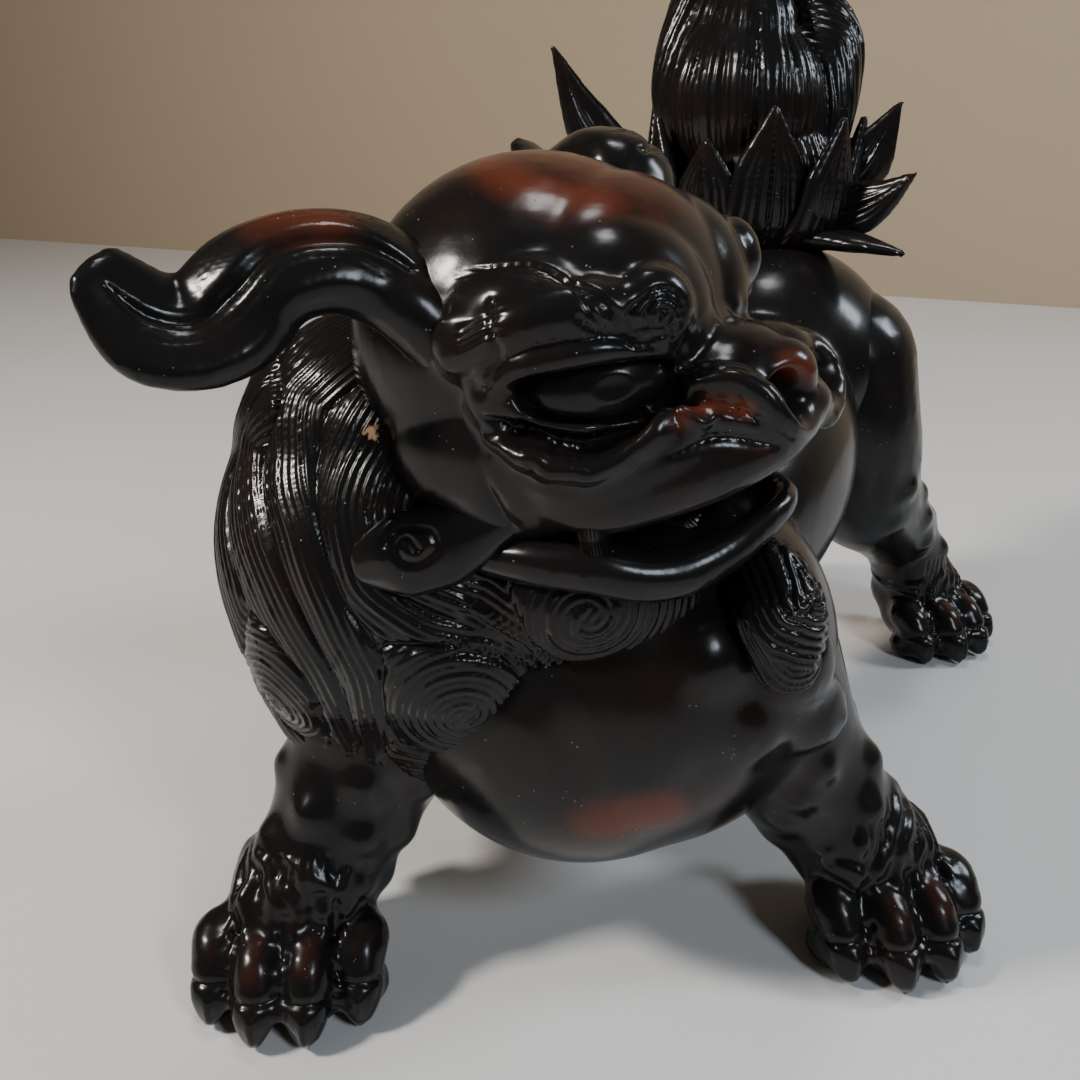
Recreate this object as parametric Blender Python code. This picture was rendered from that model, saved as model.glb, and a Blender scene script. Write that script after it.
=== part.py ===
"""Foo dog statue: a cast resin guardian lion that stands on four paws and looks over its left shoulder.

The body faces -Y and stands on Z = 0. The head faces +X. Every size below is in millimetres, and the meshes
are made in metres. The statue is glued up from separate castings: each smaller casting is seated against the
bigger one that carries it, with a glue line between them, and pegs hold the loaded joints.
"""

import math

import bmesh
import bpy
from mathutils import Euler, Matrix, Vector
from mathutils.bvhtree import BVHTree

MM = 0.001

# Overall sizes
CHEST_RADIUS = 32.0
CHEST_HEIGHT = 47.0  # chest centre above the ground
BODY_LENGTH = 93.0  # chest centre to rump centre
RUMP_SWING = -5.0  # the rump's centre, to the left of the chest's
RUMP_RADIUS = 27.0
RUMP_HEIGHT = 71.0
HEAD_SCALE = 1.0  # 1 makes a head 48 wide
HEAD_HEIGHT = 88.0  # head centre above the ground
TAIL_HEIGHT = 62.0  # plume above the rump's top
TAIL_WIDTH = 43.0
EAR_LENGTH = 1.0  # 1 makes an ear 44 long
PAW_SCALE = 1.0  # 1 makes a paw 27 wide
LEG_RADIUS = 10.0  # at the wrist and hock

# Joints
GLUE_GAP = 0.3  # left all round where one casting seats on another
PEG_CLEARANCE = 0.3
NECK_PEG_RADIUS = 4.0
TAIL_PEG_RADIUS = 3.0
LEG_PEG_RADIUS = 2.5
EAR_PEG_RADIUS = 1.2

MATERIALS = {  # colour, roughness
    "black_lacquer": ((0.012, 0.011, 0.011), 0.22),
    "eye_lacquer": ((0.02, 0.012, 0.01), 0.1),
    "raw_resin": ((0.62, 0.42, 0.28), 0.6),
}


# Scene and materials


def clear_scene():
    for obj in list(bpy.data.objects):
        bpy.data.objects.remove(obj, do_unlink=True)


def material_of(name):
    found = bpy.data.materials.get(name)
    if found:
        return found
    colour, roughness = MATERIALS[name]
    made = bpy.data.materials.new(name)
    made.use_nodes = True
    shader = made.node_tree.nodes["Principled BSDF"]
    shader.inputs["Base Color"].default_value = (*colour, 1)
    shader.inputs["Roughness"].default_value = roughness
    return made


def head_frame():
    """The head's own frame: it is modelled facing -Y, then nodded, tilted and turned to the left."""
    turn, nod, tilt = 90, -8, -6
    turned = Matrix.Rotation(math.radians(turn), 4, "Z")
    nodded = Matrix.Rotation(math.radians(nod), 4, "X")
    tilted = Matrix.Rotation(math.radians(tilt), 4, "Y")
    place = Matrix.Translation(Vector((2, -10, HEAD_HEIGHT)))
    return place @ turned @ nodded @ tilted @ Matrix.Scale(HEAD_SCALE, 4)


BODY = Matrix.Identity(4)
HEAD = head_frame()


# Mesh helpers


def add_ball(bm, centre, radii, turn=(0, 0, 0), detail=3):
    sizes = Matrix.Diagonal((*radii, 1))
    turned = Euler([math.radians(a) for a in turn]).to_matrix().to_4x4()
    place = Matrix.Translation(Vector(centre)) @ turned @ sizes
    bmesh.ops.create_icosphere(bm, subdivisions=detail, radius=1, matrix=place)


def add_limb(bm, stations):
    """A chain of balls joined by cones; a station is (centre, radius)."""
    for centre, radius in stations:
        add_ball(bm, centre, (radius, radius, radius), detail=2)
    for (start, first), (end, last) in zip(stations, stations[1:]):
        along = Vector(end) - Vector(start)
        turned = along.to_track_quat("Z", "Y").to_matrix().to_4x4()
        middle = Matrix.Translation((Vector(start) + Vector(end)) / 2)
        bmesh.ops.create_cone(
            bm,
            cap_ends=True,
            segments=16,
            radius1=first,
            radius2=last,
            depth=along.length,
            matrix=middle @ turned,
        )


def smooth_path(points, steps):
    """Points read from a Catmull-Rom curve through the given points."""
    ends = [2 * Vector(points[0]) - Vector(points[1])]
    ends += [Vector(p) for p in points]
    ends.append(2 * Vector(points[-1]) - Vector(points[-2]))
    path = []
    spans = len(points) - 1
    for step in range(steps + 1):
        span = min(int(step * spans / steps), spans - 1)
        t = step * spans / steps - span
        a, b, c, d = ends[span : span + 4]
        path.append(
            0.5
            * (
                2 * b
                + (c - a) * t
                + (2 * a - 5 * b + 4 * c - d) * t * t
                + (3 * b - a - 3 * c + d) * t**3
            )
        )
    return path


def blend(values, t):
    """The value at t, from 0 to 1, along an evenly spaced list."""
    place = t * (len(values) - 1)
    low = min(int(place), len(values) - 2)
    return values[low] + (values[low + 1] - values[low]) * (place - low)


def add_sweep(bm, points, widths, depths, normal, steps=10, sides=10, bend=0.0):
    """An oval section swept along a smooth path; bend cups the section towards the normal."""
    path = smooth_path(points, steps)
    rings = []
    for i, centre in enumerate(path):
        t = i / steps
        ahead = path[min(i + 1, steps)] - path[max(i - 1, 0)]
        side = ahead.cross(Vector(normal)).normalized()
        up = side.cross(ahead).normalized()
        width, depth = blend(widths, t), blend(depths, t)
        ring = []
        for k in range(sides):
            angle = 2 * math.pi * k / sides
            across = math.cos(angle)
            lift = depth * math.sin(angle) + bend * width * across * across
            ring.append(bm.verts.new(centre + side * width * across + up * lift))
        rings.append(ring)
    for near, far in zip(rings, rings[1:]):
        for k in range(sides):
            bm.faces.new((near[k], near[k - 1], far[k - 1], far[k]))
    bm.faces.new(rings[0])
    bm.faces.new(rings[-1][::-1])


def mesh_object(name, bm, frame, material):
    bmesh.ops.transform(bm, matrix=Matrix.Scale(MM, 4) @ frame, verts=bm.verts)
    bmesh.ops.recalc_face_normals(bm, faces=bm.faces[:])
    mesh = bpy.data.meshes.new(name)
    bm.to_mesh(mesh)
    bm.free()
    obj = bpy.data.objects.new(name, mesh)
    bpy.context.scene.collection.objects.link(obj)
    obj.data.materials.append(material_of(material))
    return obj


def bake(obj):
    """Replaces the object's mesh with what its modifiers make of it."""
    graph = bpy.context.evaluated_depsgraph_get()
    graph.update()
    made = bpy.data.meshes.new_from_object(obj.evaluated_get(graph), depsgraph=graph)
    obj.modifiers.clear()
    old = obj.data
    obj.data = made
    made.name = obj.name
    bpy.data.meshes.remove(old)


def cast(obj, voxel, rounds, faces):
    """Fuses overlapping shapes into one skin, softens the creases, and thins the mesh."""
    remesh = obj.modifiers.new("Fuse", "REMESH")
    remesh.mode = "VOXEL"
    remesh.voxel_size = voxel * MM
    soften = obj.modifiers.new("Soften", "SMOOTH")
    soften.factor = 0.5
    soften.iterations = rounds
    bake(obj)
    thin = obj.modifiers.new("Thin", "DECIMATE")
    obj.data.calc_loop_triangles()
    thin.ratio = min(1.0, faces / max(1, len(obj.data.loop_triangles)))
    bake(obj)
    return obj


def largest_body(obj):
    """Keeps the biggest body of a mesh, so that a cut leaves no crumbs, not even one that hangs by a corner."""
    bm = bmesh.new()
    bm.from_mesh(obj.data)
    left = set(bm.faces)
    bodies = []
    while left:
        stack = [left.pop()]
        body = set(stack)
        while stack:
            for edge in stack.pop().edges:
                for face in edge.link_faces:
                    if face in left:
                        left.discard(face)
                        body.add(face)
                        stack.append(face)
        bodies.append(body)
    bodies.sort(key=len, reverse=True)
    crumbs = [face for body in bodies[1:] for face in body]
    bmesh.ops.delete(bm, geom=crumbs, context="FACES")
    bm.to_mesh(obj.data)
    bm.free()


def boolean(obj, other, operation):
    cut = obj.modifiers.new("Cut", "BOOLEAN")
    cut.object = other
    cut.operation = operation
    cut.solver = "EXACT"
    bake(obj)


castings = []


def box_of(obj):
    corners = [vert.co for vert in obj.data.vertices]
    return [(min(c[i] for c in corners), max(c[i] for c in corners)) for i in range(3)]


def boxes_meet(one, other):
    return all(a[0] < b[1] and b[0] < a[1] for a, b in zip(box_of(one), box_of(other)))


def seat(obj):
    """Cuts the object back from the skin of every casting made before it, leaving the glue line."""
    for carrier in castings:
        if not boxes_meet(obj, carrier):
            continue
        bm = bmesh.new()
        bm.from_mesh(carrier.data)
        bm.normal_update()
        for vert in bm.verts:
            vert.co += vert.normal * min(vert.calc_shell_factor(), 1.4) * GLUE_GAP * MM
        swollen = bpy.data.meshes.new("swollen")
        bm.to_mesh(swollen)
        bm.free()
        cutter = bpy.data.objects.new("cutter", swollen)
        bpy.context.scene.collection.objects.link(cutter)
        boolean(obj, cutter, "DIFFERENCE")
        bpy.data.objects.remove(cutter)
        bpy.data.meshes.remove(swollen)
    largest_body(obj)
    castings.append(obj)
    return obj


def hollow(obj, frame, centre, radii, turn=(0, 0, 0)):
    """Cuts an oval hollow."""
    bm = bmesh.new()
    add_ball(bm, centre, radii, turn, detail=2)
    cutter = mesh_object("cutter", bm, frame, "black_lacquer")
    boolean(obj, cutter, "DIFFERENCE")
    bpy.data.objects.remove(cutter)


def ground_off(obj):
    """Grinds the underside flat on the ground."""
    bm = bmesh.new()
    bm.from_mesh(obj.data)
    geometry = bm.verts[:] + bm.edges[:] + bm.faces[:]
    made = bmesh.ops.bisect_plane(
        bm, geom=geometry, plane_co=(0, 0, 0), plane_no=(0, 0, -1), clear_outer=True
    )
    rim = [e for e in made["geom_cut"] if isinstance(e, bmesh.types.BMEdge)]
    bmesh.ops.edgeloop_fill(bm, edges=rim)
    bmesh.ops.recalc_face_normals(bm, faces=bm.faces[:])
    bm.to_mesh(obj.data)
    bm.free()
    return obj


def make_peg(name, start, end, radius):
    """A peg along start to end, with a clearance hole for it in each casting that it meets."""
    along = end - start
    turned = along.to_track_quat("Z", "Y").to_matrix().to_4x4()
    place = Matrix.Translation((start + end) / 2) @ turned
    made = []
    for grow in (0, PEG_CLEARANCE):
        bm = bmesh.new()
        bmesh.ops.create_cone(
            bm,
            cap_ends=True,
            segments=16,
            radius1=radius + grow,
            radius2=radius + grow,
            depth=along.length + 2 * grow,
            matrix=place,
        )
        made.append(mesh_object(name, bm, BODY, "raw_resin"))
    peg, cutter = made
    for casting in castings:
        if boxes_meet(casting, cutter):
            boolean(casting, cutter, "DIFFERENCE")
    bpy.data.objects.remove(cutter)
    return peg


def skin_at(obj, start, aim):
    """The outermost point of the object's skin along a line from start, and the way the skin faces there."""
    corners = [vert.co / MM for vert in obj.data.vertices]
    tree = BVHTree.FromPolygons(corners, [face.vertices[:] for face in obj.data.polygons])
    aim = Vector(aim).normalized()
    point, facing, _, _ = tree.ray_cast(Vector(start) + aim * 300, -aim)
    return point, facing


def shade(obj):
    obj.data.shade_smooth()
    obj.data.set_sharp_from_angle(angle=math.radians(45))


def stand_on_origin(objects):
    """Puts the middle of the statue's footprint on the origin."""
    corners = [vert.co for obj in objects for vert in obj.data.vertices]
    low = Vector(min(c[i] for c in corners) for i in range(3))
    high = Vector(max(c[i] for c in corners) for i in range(3))
    shift = Vector((-(low.x + high.x) / 2, -(low.y + high.y) / 2, -low.z))
    for obj in objects:
        obj.data.transform(Matrix.Translation(shift))


# Body


def make_torso():
    bm = bmesh.new()
    r = CHEST_RADIUS
    add_ball(bm, (2, 2, CHEST_HEIGHT), (r, r * 1.06, r * 0.94))
    rump = (RUMP_SWING, BODY_LENGTH, RUMP_HEIGHT)
    middle = (CHEST_HEIGHT + RUMP_HEIGHT) / 2
    add_ball(bm, (-1, BODY_LENGTH * 0.5, middle + 1), (25, BODY_LENGTH * 0.5, 25), (14, 0, 0))
    add_ball(bm, rump, (RUMP_RADIUS, RUMP_RADIUS, RUMP_RADIUS))
    obj = mesh_object("torso", bm, BODY, "black_lacquer")
    return seat(cast(obj, 2.2, 10, 1000))


def mane_centre():
    return Vector((-25, -8, (CHEST_HEIGHT + HEAD_HEIGHT) / 2 - 6))


def make_neck_mane():
    r = CHEST_RADIUS
    centre = mane_centre()
    bm = bmesh.new()
    add_ball(bm, centre, (r * 1.06, r * 1.03, r * 1.06))
    add_ball(bm, centre + Vector((-4, -5, -r * 0.47)), (r * 0.75, r * 0.69, r * 0.62))
    add_ball(bm, (-27, -8, HEAD_HEIGHT - 10), (29, 26, 22))
    add_ball(bm, (-9, 13, HEAD_HEIGHT - 29), (28, 22, 20))
    add_ball(bm, (-2, -8, HEAD_HEIGHT - 20), (27, 25, 19))
    obj = mesh_object("neck_mane", bm, BODY, "black_lacquer")
    return seat(cast(obj, 2.2, 8, 1100))


# Head


def side_name(side):
    return "right" if side < 0 else "left"


def skull_forms(bm):
    add_ball(bm, (0, 8, 8.5), (24, 25, 24.5))
    add_ball(bm, (0, -14, 0.5), (18, 15, 8))
    add_limb(bm, [((0, -12, 12), 6), ((0, -20, 6), 6), ((0, -23.5, 5), 6)])
    for side in (-1, 1):
        add_ball(bm, (side * 7, -6, 14.5), (13, 13.5, 13))
        add_ball(bm, (side * 16, 5, 1), (11, 17, 10.5))
        ridge = [(22, 6, 10), (19.5, -6, 13), (10, -13, 14.5)]
        add_limb(bm, [((side * x, y, z), 5) for x, y, z in ridge])
        lip = [(20, 4, -5), (18, -8, -7), (14, -18, -5), (7, -25, -2), (0, -27, 0)]
        add_limb(bm, [((side * x, y, z), 4.2) for x, y, z in lip])
        fold = [(22, 4, 1), (18, -9, -1), (13, -18, 1), (9, -23, 2)]
        add_limb(bm, [((side * x, y, z), 3.6) for x, y, z in fold])
        wing = [(5, -14, 10), (10, -18, 9), (12, -22, 6), (10.5, -26, 3)]
        add_limb(bm, [((side * x, y, z), 2.8) for x, y, z in wing])


def make_eye(side):
    bm = bmesh.new()
    add_ball(bm, (side * 14.5, -10, 7.8), (6.4, 6.0, 4.2))
    return seat(mesh_object("eye_" + side_name(side), bm, HEAD, "eye_lacquer"))


def make_skull():
    bm = bmesh.new()
    skull_forms(bm)
    obj = mesh_object("skull", bm, HEAD, "black_lacquer")
    cast(obj, 1.5, 4, 2600)
    for side in (-1, 1):
        hollow(obj, HEAD, (side * 16, -10.5, 7.5), (7.6, 7, 4.8))
        hollow(obj, HEAD, (side * 8.5, -25, 3.2), (3, 6, 2.4), (0, 0, side * 20))
    hollow(obj, HEAD, (0, -16, -10), (13, 15, 5))
    return seat(obj)


def make_lower_jaw():
    bm = bmesh.new()
    add_ball(bm, (0, -5, -17.5), (16, 15, 5))
    for side in (-1, 1):
        lip = [(19, 3, -12), (16.5, -8, -14.5), (11, -15, -15), (5, -19, -13), (0, -20, -12)]
        add_limb(bm, [((side * x, y, z), 3.6) for x, y, z in lip])
    obj = mesh_object("lower_jaw", bm, HEAD, "black_lacquer")
    cast(obj, 1.4, 3, 700)
    hollow(obj, HEAD, (0, -8, -12), (11, 10, 4.5))
    return seat(obj)


def make_tongue():
    bm = bmesh.new()
    path = [(0, 4, -14), (0, -6, -13.5), (0, -13, -11), (0, -18, -7)]
    add_sweep(bm, path, [8, 9, 8, 4], [3, 2.5, 2, 1.2], (0, 0, 1), steps=8)
    obj = mesh_object("tongue", bm, HEAD, "black_lacquer")
    return seat(cast(obj, 0.9, 1, 200))


def make_fang(side):
    bm = bmesh.new()
    add_limb(bm, [((side * 17, -5, -8), 2.4), ((side * 17.6, -5.4, -12.2), 1.6)])
    obj = mesh_object("fang_" + side_name(side), bm, HEAD, "black_lacquer")
    return seat(cast(obj, 0.6, 1, 120))


def make_ear(side):
    bm = bmesh.new()
    path = [(16, 11, 17), (22, 18, 25), (29, 25, 25.5), (35, 29, 20.5), (39.5, 34, 20), (42.5, 38, 28)]
    root = Vector(path[0])
    points = [root + (Vector(p) - root) * EAR_LENGTH for p in path]
    points = [(side * p.x, p.y, p.z) for p in points]
    normal = (side * 0.4, -0.5, 1)
    widths = [6, 7, 7, 7, 6, 2]
    depths = [5, 5, 4.5, 3.8, 2.8, 1.2]
    add_sweep(bm, points, widths, depths, normal, 16, 12, 0.25)
    obj = mesh_object("ear_" + side_name(side), bm, HEAD, "black_lacquer")
    return seat(cast(obj, 0.9, 1, 460))


def ear_peg_ends(side):
    return HEAD @ Vector((side * 12, 7, 13)), HEAD @ Vector((side * 22, 18, 24))


def make_brow_curl(side):
    """The combed eyebrow and the snail curl at its inner end."""
    bm = bmesh.new()
    path = [(25, 4, 13), (22.5, -5, 16.5), (17.5, -12, 17.5), (13, -16, 15.5)]
    path = [(side * x, y, z) for x, y, z in path]
    add_sweep(bm, path, [2, 3.6, 4, 4], [2, 3.6, 4, 4], (0, -0.5, 1), 8, 10)
    add_ball(bm, (side * 12.5, -16.5, 14.5), (5.6, 4.6, 5.6), (0, 0, side * 35))
    obj = mesh_object("brow_curl_" + side_name(side), bm, HEAD, "black_lacquer")
    return seat(cast(obj, 1.0, 2, 300))


def make_jowl_curl(side):
    """The flat scroll that leaves the corner of the mouth."""
    bm = bmesh.new()
    path = [(18, 0, -8), (23, 5, -8.5), (27, 12, -9), (28.5, 20, -12), (28, 24, -13)]
    path = [(side * x, y, z) for x, y, z in path]
    widths = [3.2, 4.6, 6.6, 6.2, 3]
    depths = [3, 3, 3, 2.6, 1.6]
    add_sweep(bm, path, widths, depths, (side, -0.3, 0.3), 10, 12)
    obj = mesh_object("jowl_curl_" + side_name(side), bm, HEAD, "black_lacquer")
    return seat(cast(obj, 0.9, 1, 260))


# Curls and tufts


def make_curl(name, carrier, start, aim, radius, height):
    """A domed snail curl on its carrier's skin, where a line from start leaves it."""
    point, facing = skin_at(carrier, start, aim)
    turned = facing.to_track_quat("Z", "Y").to_matrix().to_4x4()
    bm = bmesh.new()
    add_ball(bm, (0, 0, 0), (radius, radius, height))
    obj = mesh_object(name, bm, Matrix.Translation(point) @ turned, "black_lacquer")
    return seat(cast(obj, 1.1, 1, 170))


def make_leaf(name, points, widths, depths, normal, bend=0.0):
    """A flat pointed tuft, such as a flame of the tail."""
    bm = bmesh.new()
    add_sweep(bm, points, widths, depths, normal, 10, 12, bend)
    obj = mesh_object(name, bm, BODY, "black_lacquer")
    return seat(cast(obj, 0.9, 1, 180))


# Legs and paws


def paw_frame(place, turn):
    x, y = place
    turned = Matrix.Rotation(math.radians(turn), 4, "Z")
    return Matrix.Translation(Vector((x, y, 0))) @ turned @ Matrix.Scale(PAW_SCALE, 4)


def add_paw(bm, frame):
    """A paw that points along -Y of its frame, with four toes and their claws."""
    sole = 0.5
    parts = bmesh.new()
    add_ball(parts, (0, -2, 7), (11, 10, 8))
    for x, reach in ((-9.6, 7.5), (-3.3, 11.5), (3.3, 11.5), (9.6, 7.5)):
        fan = x * 1.12
        add_limb(parts, [((x * 0.7, -3, 8), 4.4), ((fan, 2 - reach, 8.4), 4.6), ((fan, -1 - reach, 6.2), 4.1)])
        add_limb(parts, [((fan, -2.5 - reach, 4), 3.4), ((fan, -4.5 - reach, 1.5), 2)])
        add_ball(parts, (fan, -reach, sole + 1.5), (3.8, 4.6, 2))
    bmesh.ops.transform(parts, matrix=frame, verts=parts.verts)
    loose = bpy.data.meshes.new("paw")
    parts.to_mesh(loose)
    parts.free()
    bm.from_mesh(loose)
    bpy.data.meshes.remove(loose)


def make_leg(name, stations, place, turn):
    bm = bmesh.new()
    add_limb(bm, stations)
    add_paw(bm, paw_frame(place, turn))
    obj = mesh_object(name, bm, BODY, "black_lacquer")
    cast(obj, 1.3, 2, 950)
    return seat(ground_off(obj))


def make_leg_tuft(name, stations, turn):
    """The fin of hair that stands off the back of the leg above the paw."""
    _, knee, *_, shin, foot = [Vector(centre) for centre, _ in stations]
    back = Vector((-math.sin(math.radians(turn)), math.cos(math.radians(turn)), 0))
    r = LEG_RADIUS
    points = [
        shin.lerp(knee, 0.4) + back * r * 0.8,
        shin + back * r * 1.15,
        shin.lerp(foot, 0.6) + back * r * 1.45,
    ]
    across = Vector((back.y, -back.x, 0))
    make_leaf(name, points, [4, 5, 1], [2.4, 2.4, 1], across)


def make_leg_peg(name, carrier, stations):
    """The peg of a leg crosses the carrier's skin where the leg enters it."""
    top, knee = (Vector(centre) for centre, _ in stations[:2])
    point, _ = skin_at(carrier, top, knee - top)
    along = (knee - top).normalized() * LEG_RADIUS
    make_peg(name, point - along, point + along * 0.8, LEG_PEG_RADIUS)


def front_leg_stations(place, shoulder):
    x, y = place
    top = Vector((*shoulder, CHEST_HEIGHT - 2))
    foot = Vector((x, y, LEG_RADIUS))
    knee = top.lerp(foot, 0.45)
    shin = top.lerp(foot, 0.8)
    r = LEG_RADIUS
    return [(top, r * 1.75), (knee, r * 1.3), (shin, r * 1.05), (foot, r)]


def hind_leg_stations(side, place):
    x, y = place
    r = LEG_RADIUS
    hip = (side * 14 + RUMP_SWING, BODY_LENGTH + 2, RUMP_HEIGHT + 2)
    thigh = (side * 18 + RUMP_SWING, BODY_LENGTH + 1, RUMP_HEIGHT - 12)
    knee = (side * 22 + RUMP_SWING, BODY_LENGTH + 6, RUMP_HEIGHT - 27)
    hock = (x - side * 6, y - 8, 0.42 * RUMP_HEIGHT)
    foot = (x, y, r * 1.1)
    return [(hip, r * 1.7), (thigh, r * 1.55), (knee, r * 1.15), (hock, r * 0.9), (foot, r * 0.85)]


# Tail


def tail_root():
    return Vector((RUMP_SWING - 10, BODY_LENGTH + 7, RUMP_HEIGHT + RUMP_RADIUS))


def make_tail_plume():
    root = tail_root()
    w, h = TAIL_WIDTH / 2, TAIL_HEIGHT
    bm = bmesh.new()
    add_ball(bm, root + Vector((-1, 0, h * 0.16)), (w * 0.85, w * 0.7, h * 0.3))
    add_ball(bm, root + Vector((-2, 0, h * 0.42)), (w * 0.85, w * 0.6, h * 0.32))
    for side, reach, lift in ((-1, 0.62, 1.0), (0, 0.05, 0.86), (1, 0.66, 0.7)):
        foot = root + Vector((side * w * 0.35, 0, h * 0.1))
        belly = root + Vector((side * w * reach, -2, h * lift * 0.55))
        tip = root + Vector((side * w * 0.45 - 4, 3, h * lift))
        widths = [w * 0.3, w * 0.5, w * 0.12]
        add_sweep(bm, [foot, belly, tip], widths, [7, 7, 2], (0, -1, 0.2), 10, 12)
    obj = mesh_object("tail_plume", bm, BODY, "black_lacquer")
    return seat(cast(obj, 1.5, 2, 800))


def make_tail_leaves():
    """Flame tufts that fan out round the foot of the plume; an angle of 0 points to the left of the body."""
    root = tail_root()
    size = TAIL_WIDTH / 43
    flames = (  # angle, reach, rise, half width
        (-22, 40, -2, 5.5),
        (-8, 34, 12, 6),
        (14, 27, 24, 6),
        (60, 27, 12, 6),
        (100, 27, 20, 6),
        (146, 32, 26, 6),
        (194, 43, 35, 5.5),
        (208, 34, 2, 5),
    )
    for n, (angle, reach, rise, width) in enumerate(flames, 1):
        out = Vector((math.cos(math.radians(angle)), math.sin(math.radians(angle)), 0))
        stations = ((0.2, 0.1), (0.5, 0.25), (0.8, 0.6), (1, 1))
        points = [root + out * reach * size * a + Vector((0, 0, 2 + rise * b)) for a, b in stations]
        normal = (-out.x * 0.5, -out.y * 0.5, 1)
        make_leaf(f"tail_leaf_{n}", points, [4, width, width * 0.7, 0.8], [3, 2.6, 2, 0.8], normal, 0.2)


# Assembly


clear_scene()
torso = make_torso()
neck_mane = make_neck_mane()
for side in (-1, 1):
    make_eye(side)
skull = make_skull()
make_lower_jaw()
make_tongue()
for side in (-1, 1):
    make_fang(side)
    make_ear(side)
    make_brow_curl(side)
    make_jowl_curl(side)

hind = BODY_LENGTH + 30
paws = {  # what the leg is seated on, middle of the paw, way it points, shoulder
    "front_leg_right": (neck_mane, (-34, -38), 28, (-27, -16)),
    "front_leg_left": (torso, (41, 14), 45, (17, 6)),
    "hind_leg_right": (torso, (-25, hind - 1), 10, None),
    "hind_leg_left": (torso, (29, hind + 1), 60, None),
}
for name, (carrier, place, turn, shoulder) in paws.items():
    side = -1 if name.endswith("right") else 1
    if shoulder:
        stations = front_leg_stations(place, shoulder)
    else:
        stations = hind_leg_stations(side, place)
    make_leg(name, stations, place, turn)
    make_leg_tuft(name.replace("leg", "tuft"), stations, turn)
    make_leg_peg(name.replace("leg", "peg"), carrier, stations)

middle = mane_centre()
mane_curls = {  # aim from the middle of the mane, radius, height
    "mane_curl_chest": ((18, -25, -12), 9.5, 3.8),
    "mane_curl_shoulder": ((-6, -30, -12), 6, 3),
    "mane_curl_chin": ((37, -21, 3), 7, 4),
    "mane_curl_flank": ((-24, 24, -8), 8, 3),
    "mane_curl_nape": ((-12, 30, 14), 7, 3),
    "mane_curl_back": ((22, 31, 16), 7, 4),
}
for name, (aim, radius, height) in mane_curls.items():
    make_curl(name, neck_mane, middle, aim, radius, height)
make_curl("chest_curl_left", torso, (2, 2, CHEST_HEIGHT), (30, -10, 3), 6, 3)
make_curl("beard_tuft", torso, (2, 2, CHEST_HEIGHT), (26, -10, 14), 10, 8)

plume = make_tail_plume()
tail_middle = tail_root() + Vector((0, 0, 12))
for n, (aim, radius) in enumerate((((8, -7, -1), 10), ((-8, -7, 0), 9), ((1, 10, 0), 9)), 1):
    make_curl(f"tail_curl_{n}", plume, tail_middle, aim, radius, 7)
make_tail_leaves()

chest = Vector((2, 2, CHEST_HEIGHT))
toward = Vector((-24, 6, 24)).normalized()
make_peg("neck_peg", chest + toward * (CHEST_RADIUS - 13), chest + toward * (CHEST_RADIUS + 13), NECK_PEG_RADIUS)
head_middle = Vector((-6, -10, HEAD_HEIGHT))
make_peg("head_peg", head_middle - Vector((0, 0, 10)), head_middle + Vector((0, 0, 14)), NECK_PEG_RADIUS)
root = tail_root()
make_peg("tail_peg", root - Vector((0, 0, 14)), root + Vector((0, 0, 12)), TAIL_PEG_RADIUS)
for side in (-1, 1):
    make_peg("ear_peg_" + side_name(side), *ear_peg_ends(side), EAR_PEG_RADIUS)

pieces = list(bpy.data.objects)
stand_on_origin(pieces)
for piece in pieces:
    shade(piece)
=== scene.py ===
import math

import bmesh
import bpy
import numpy as np
from mathutils import Euler, Matrix, Vector
from mathutils.bvhtree import BVHTree


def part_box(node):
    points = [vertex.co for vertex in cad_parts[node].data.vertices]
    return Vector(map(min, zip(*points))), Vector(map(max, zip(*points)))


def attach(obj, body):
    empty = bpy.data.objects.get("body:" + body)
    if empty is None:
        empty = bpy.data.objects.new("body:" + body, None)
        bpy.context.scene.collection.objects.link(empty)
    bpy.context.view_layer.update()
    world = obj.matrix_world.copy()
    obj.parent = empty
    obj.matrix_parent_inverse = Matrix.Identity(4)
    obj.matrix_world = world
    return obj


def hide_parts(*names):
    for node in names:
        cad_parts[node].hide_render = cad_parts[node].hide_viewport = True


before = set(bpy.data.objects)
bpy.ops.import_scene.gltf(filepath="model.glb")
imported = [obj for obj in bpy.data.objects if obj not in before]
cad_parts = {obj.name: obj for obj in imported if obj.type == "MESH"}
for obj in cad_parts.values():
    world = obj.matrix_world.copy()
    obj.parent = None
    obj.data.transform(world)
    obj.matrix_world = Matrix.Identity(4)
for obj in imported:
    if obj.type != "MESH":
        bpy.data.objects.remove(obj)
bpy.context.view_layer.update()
mm = 0.001

# Every size below is in millimetres, and meshes are kept in metres.
# headPlace turns the head's own frame, which faces -Y, to where the head sits on the body.
headSettings = {"place": (2, -48.9, 88), "turn": 90, "nod": -8, "tilt": -6}
bodyPlace = Matrix.Translation((-0.1, -38.9, 0))
worldPlace = Matrix.Identity(4)
headPlace = (
    Matrix.Translation(headSettings["place"])
    @ Matrix.Rotation(math.radians(headSettings["turn"]), 4, "Z")
    @ Matrix.Rotation(math.radians(headSettings["nod"]), 4, "X")
    @ Matrix.Rotation(math.radians(headSettings["tilt"]), 4, "Y")
)


# Forms: balls and limbs that overlap, to be fused into one skin


def addBall(bm, centre, radii, turn=(0, 0, 0), detail=4):
    turned = Euler([math.radians(a) for a in turn]).to_matrix().to_4x4()
    place = Matrix.Translation(centre) @ turned @ Matrix.Diagonal((*radii, 1))
    bmesh.ops.create_icosphere(bm, subdivisions=detail, radius=1, matrix=place)


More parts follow.
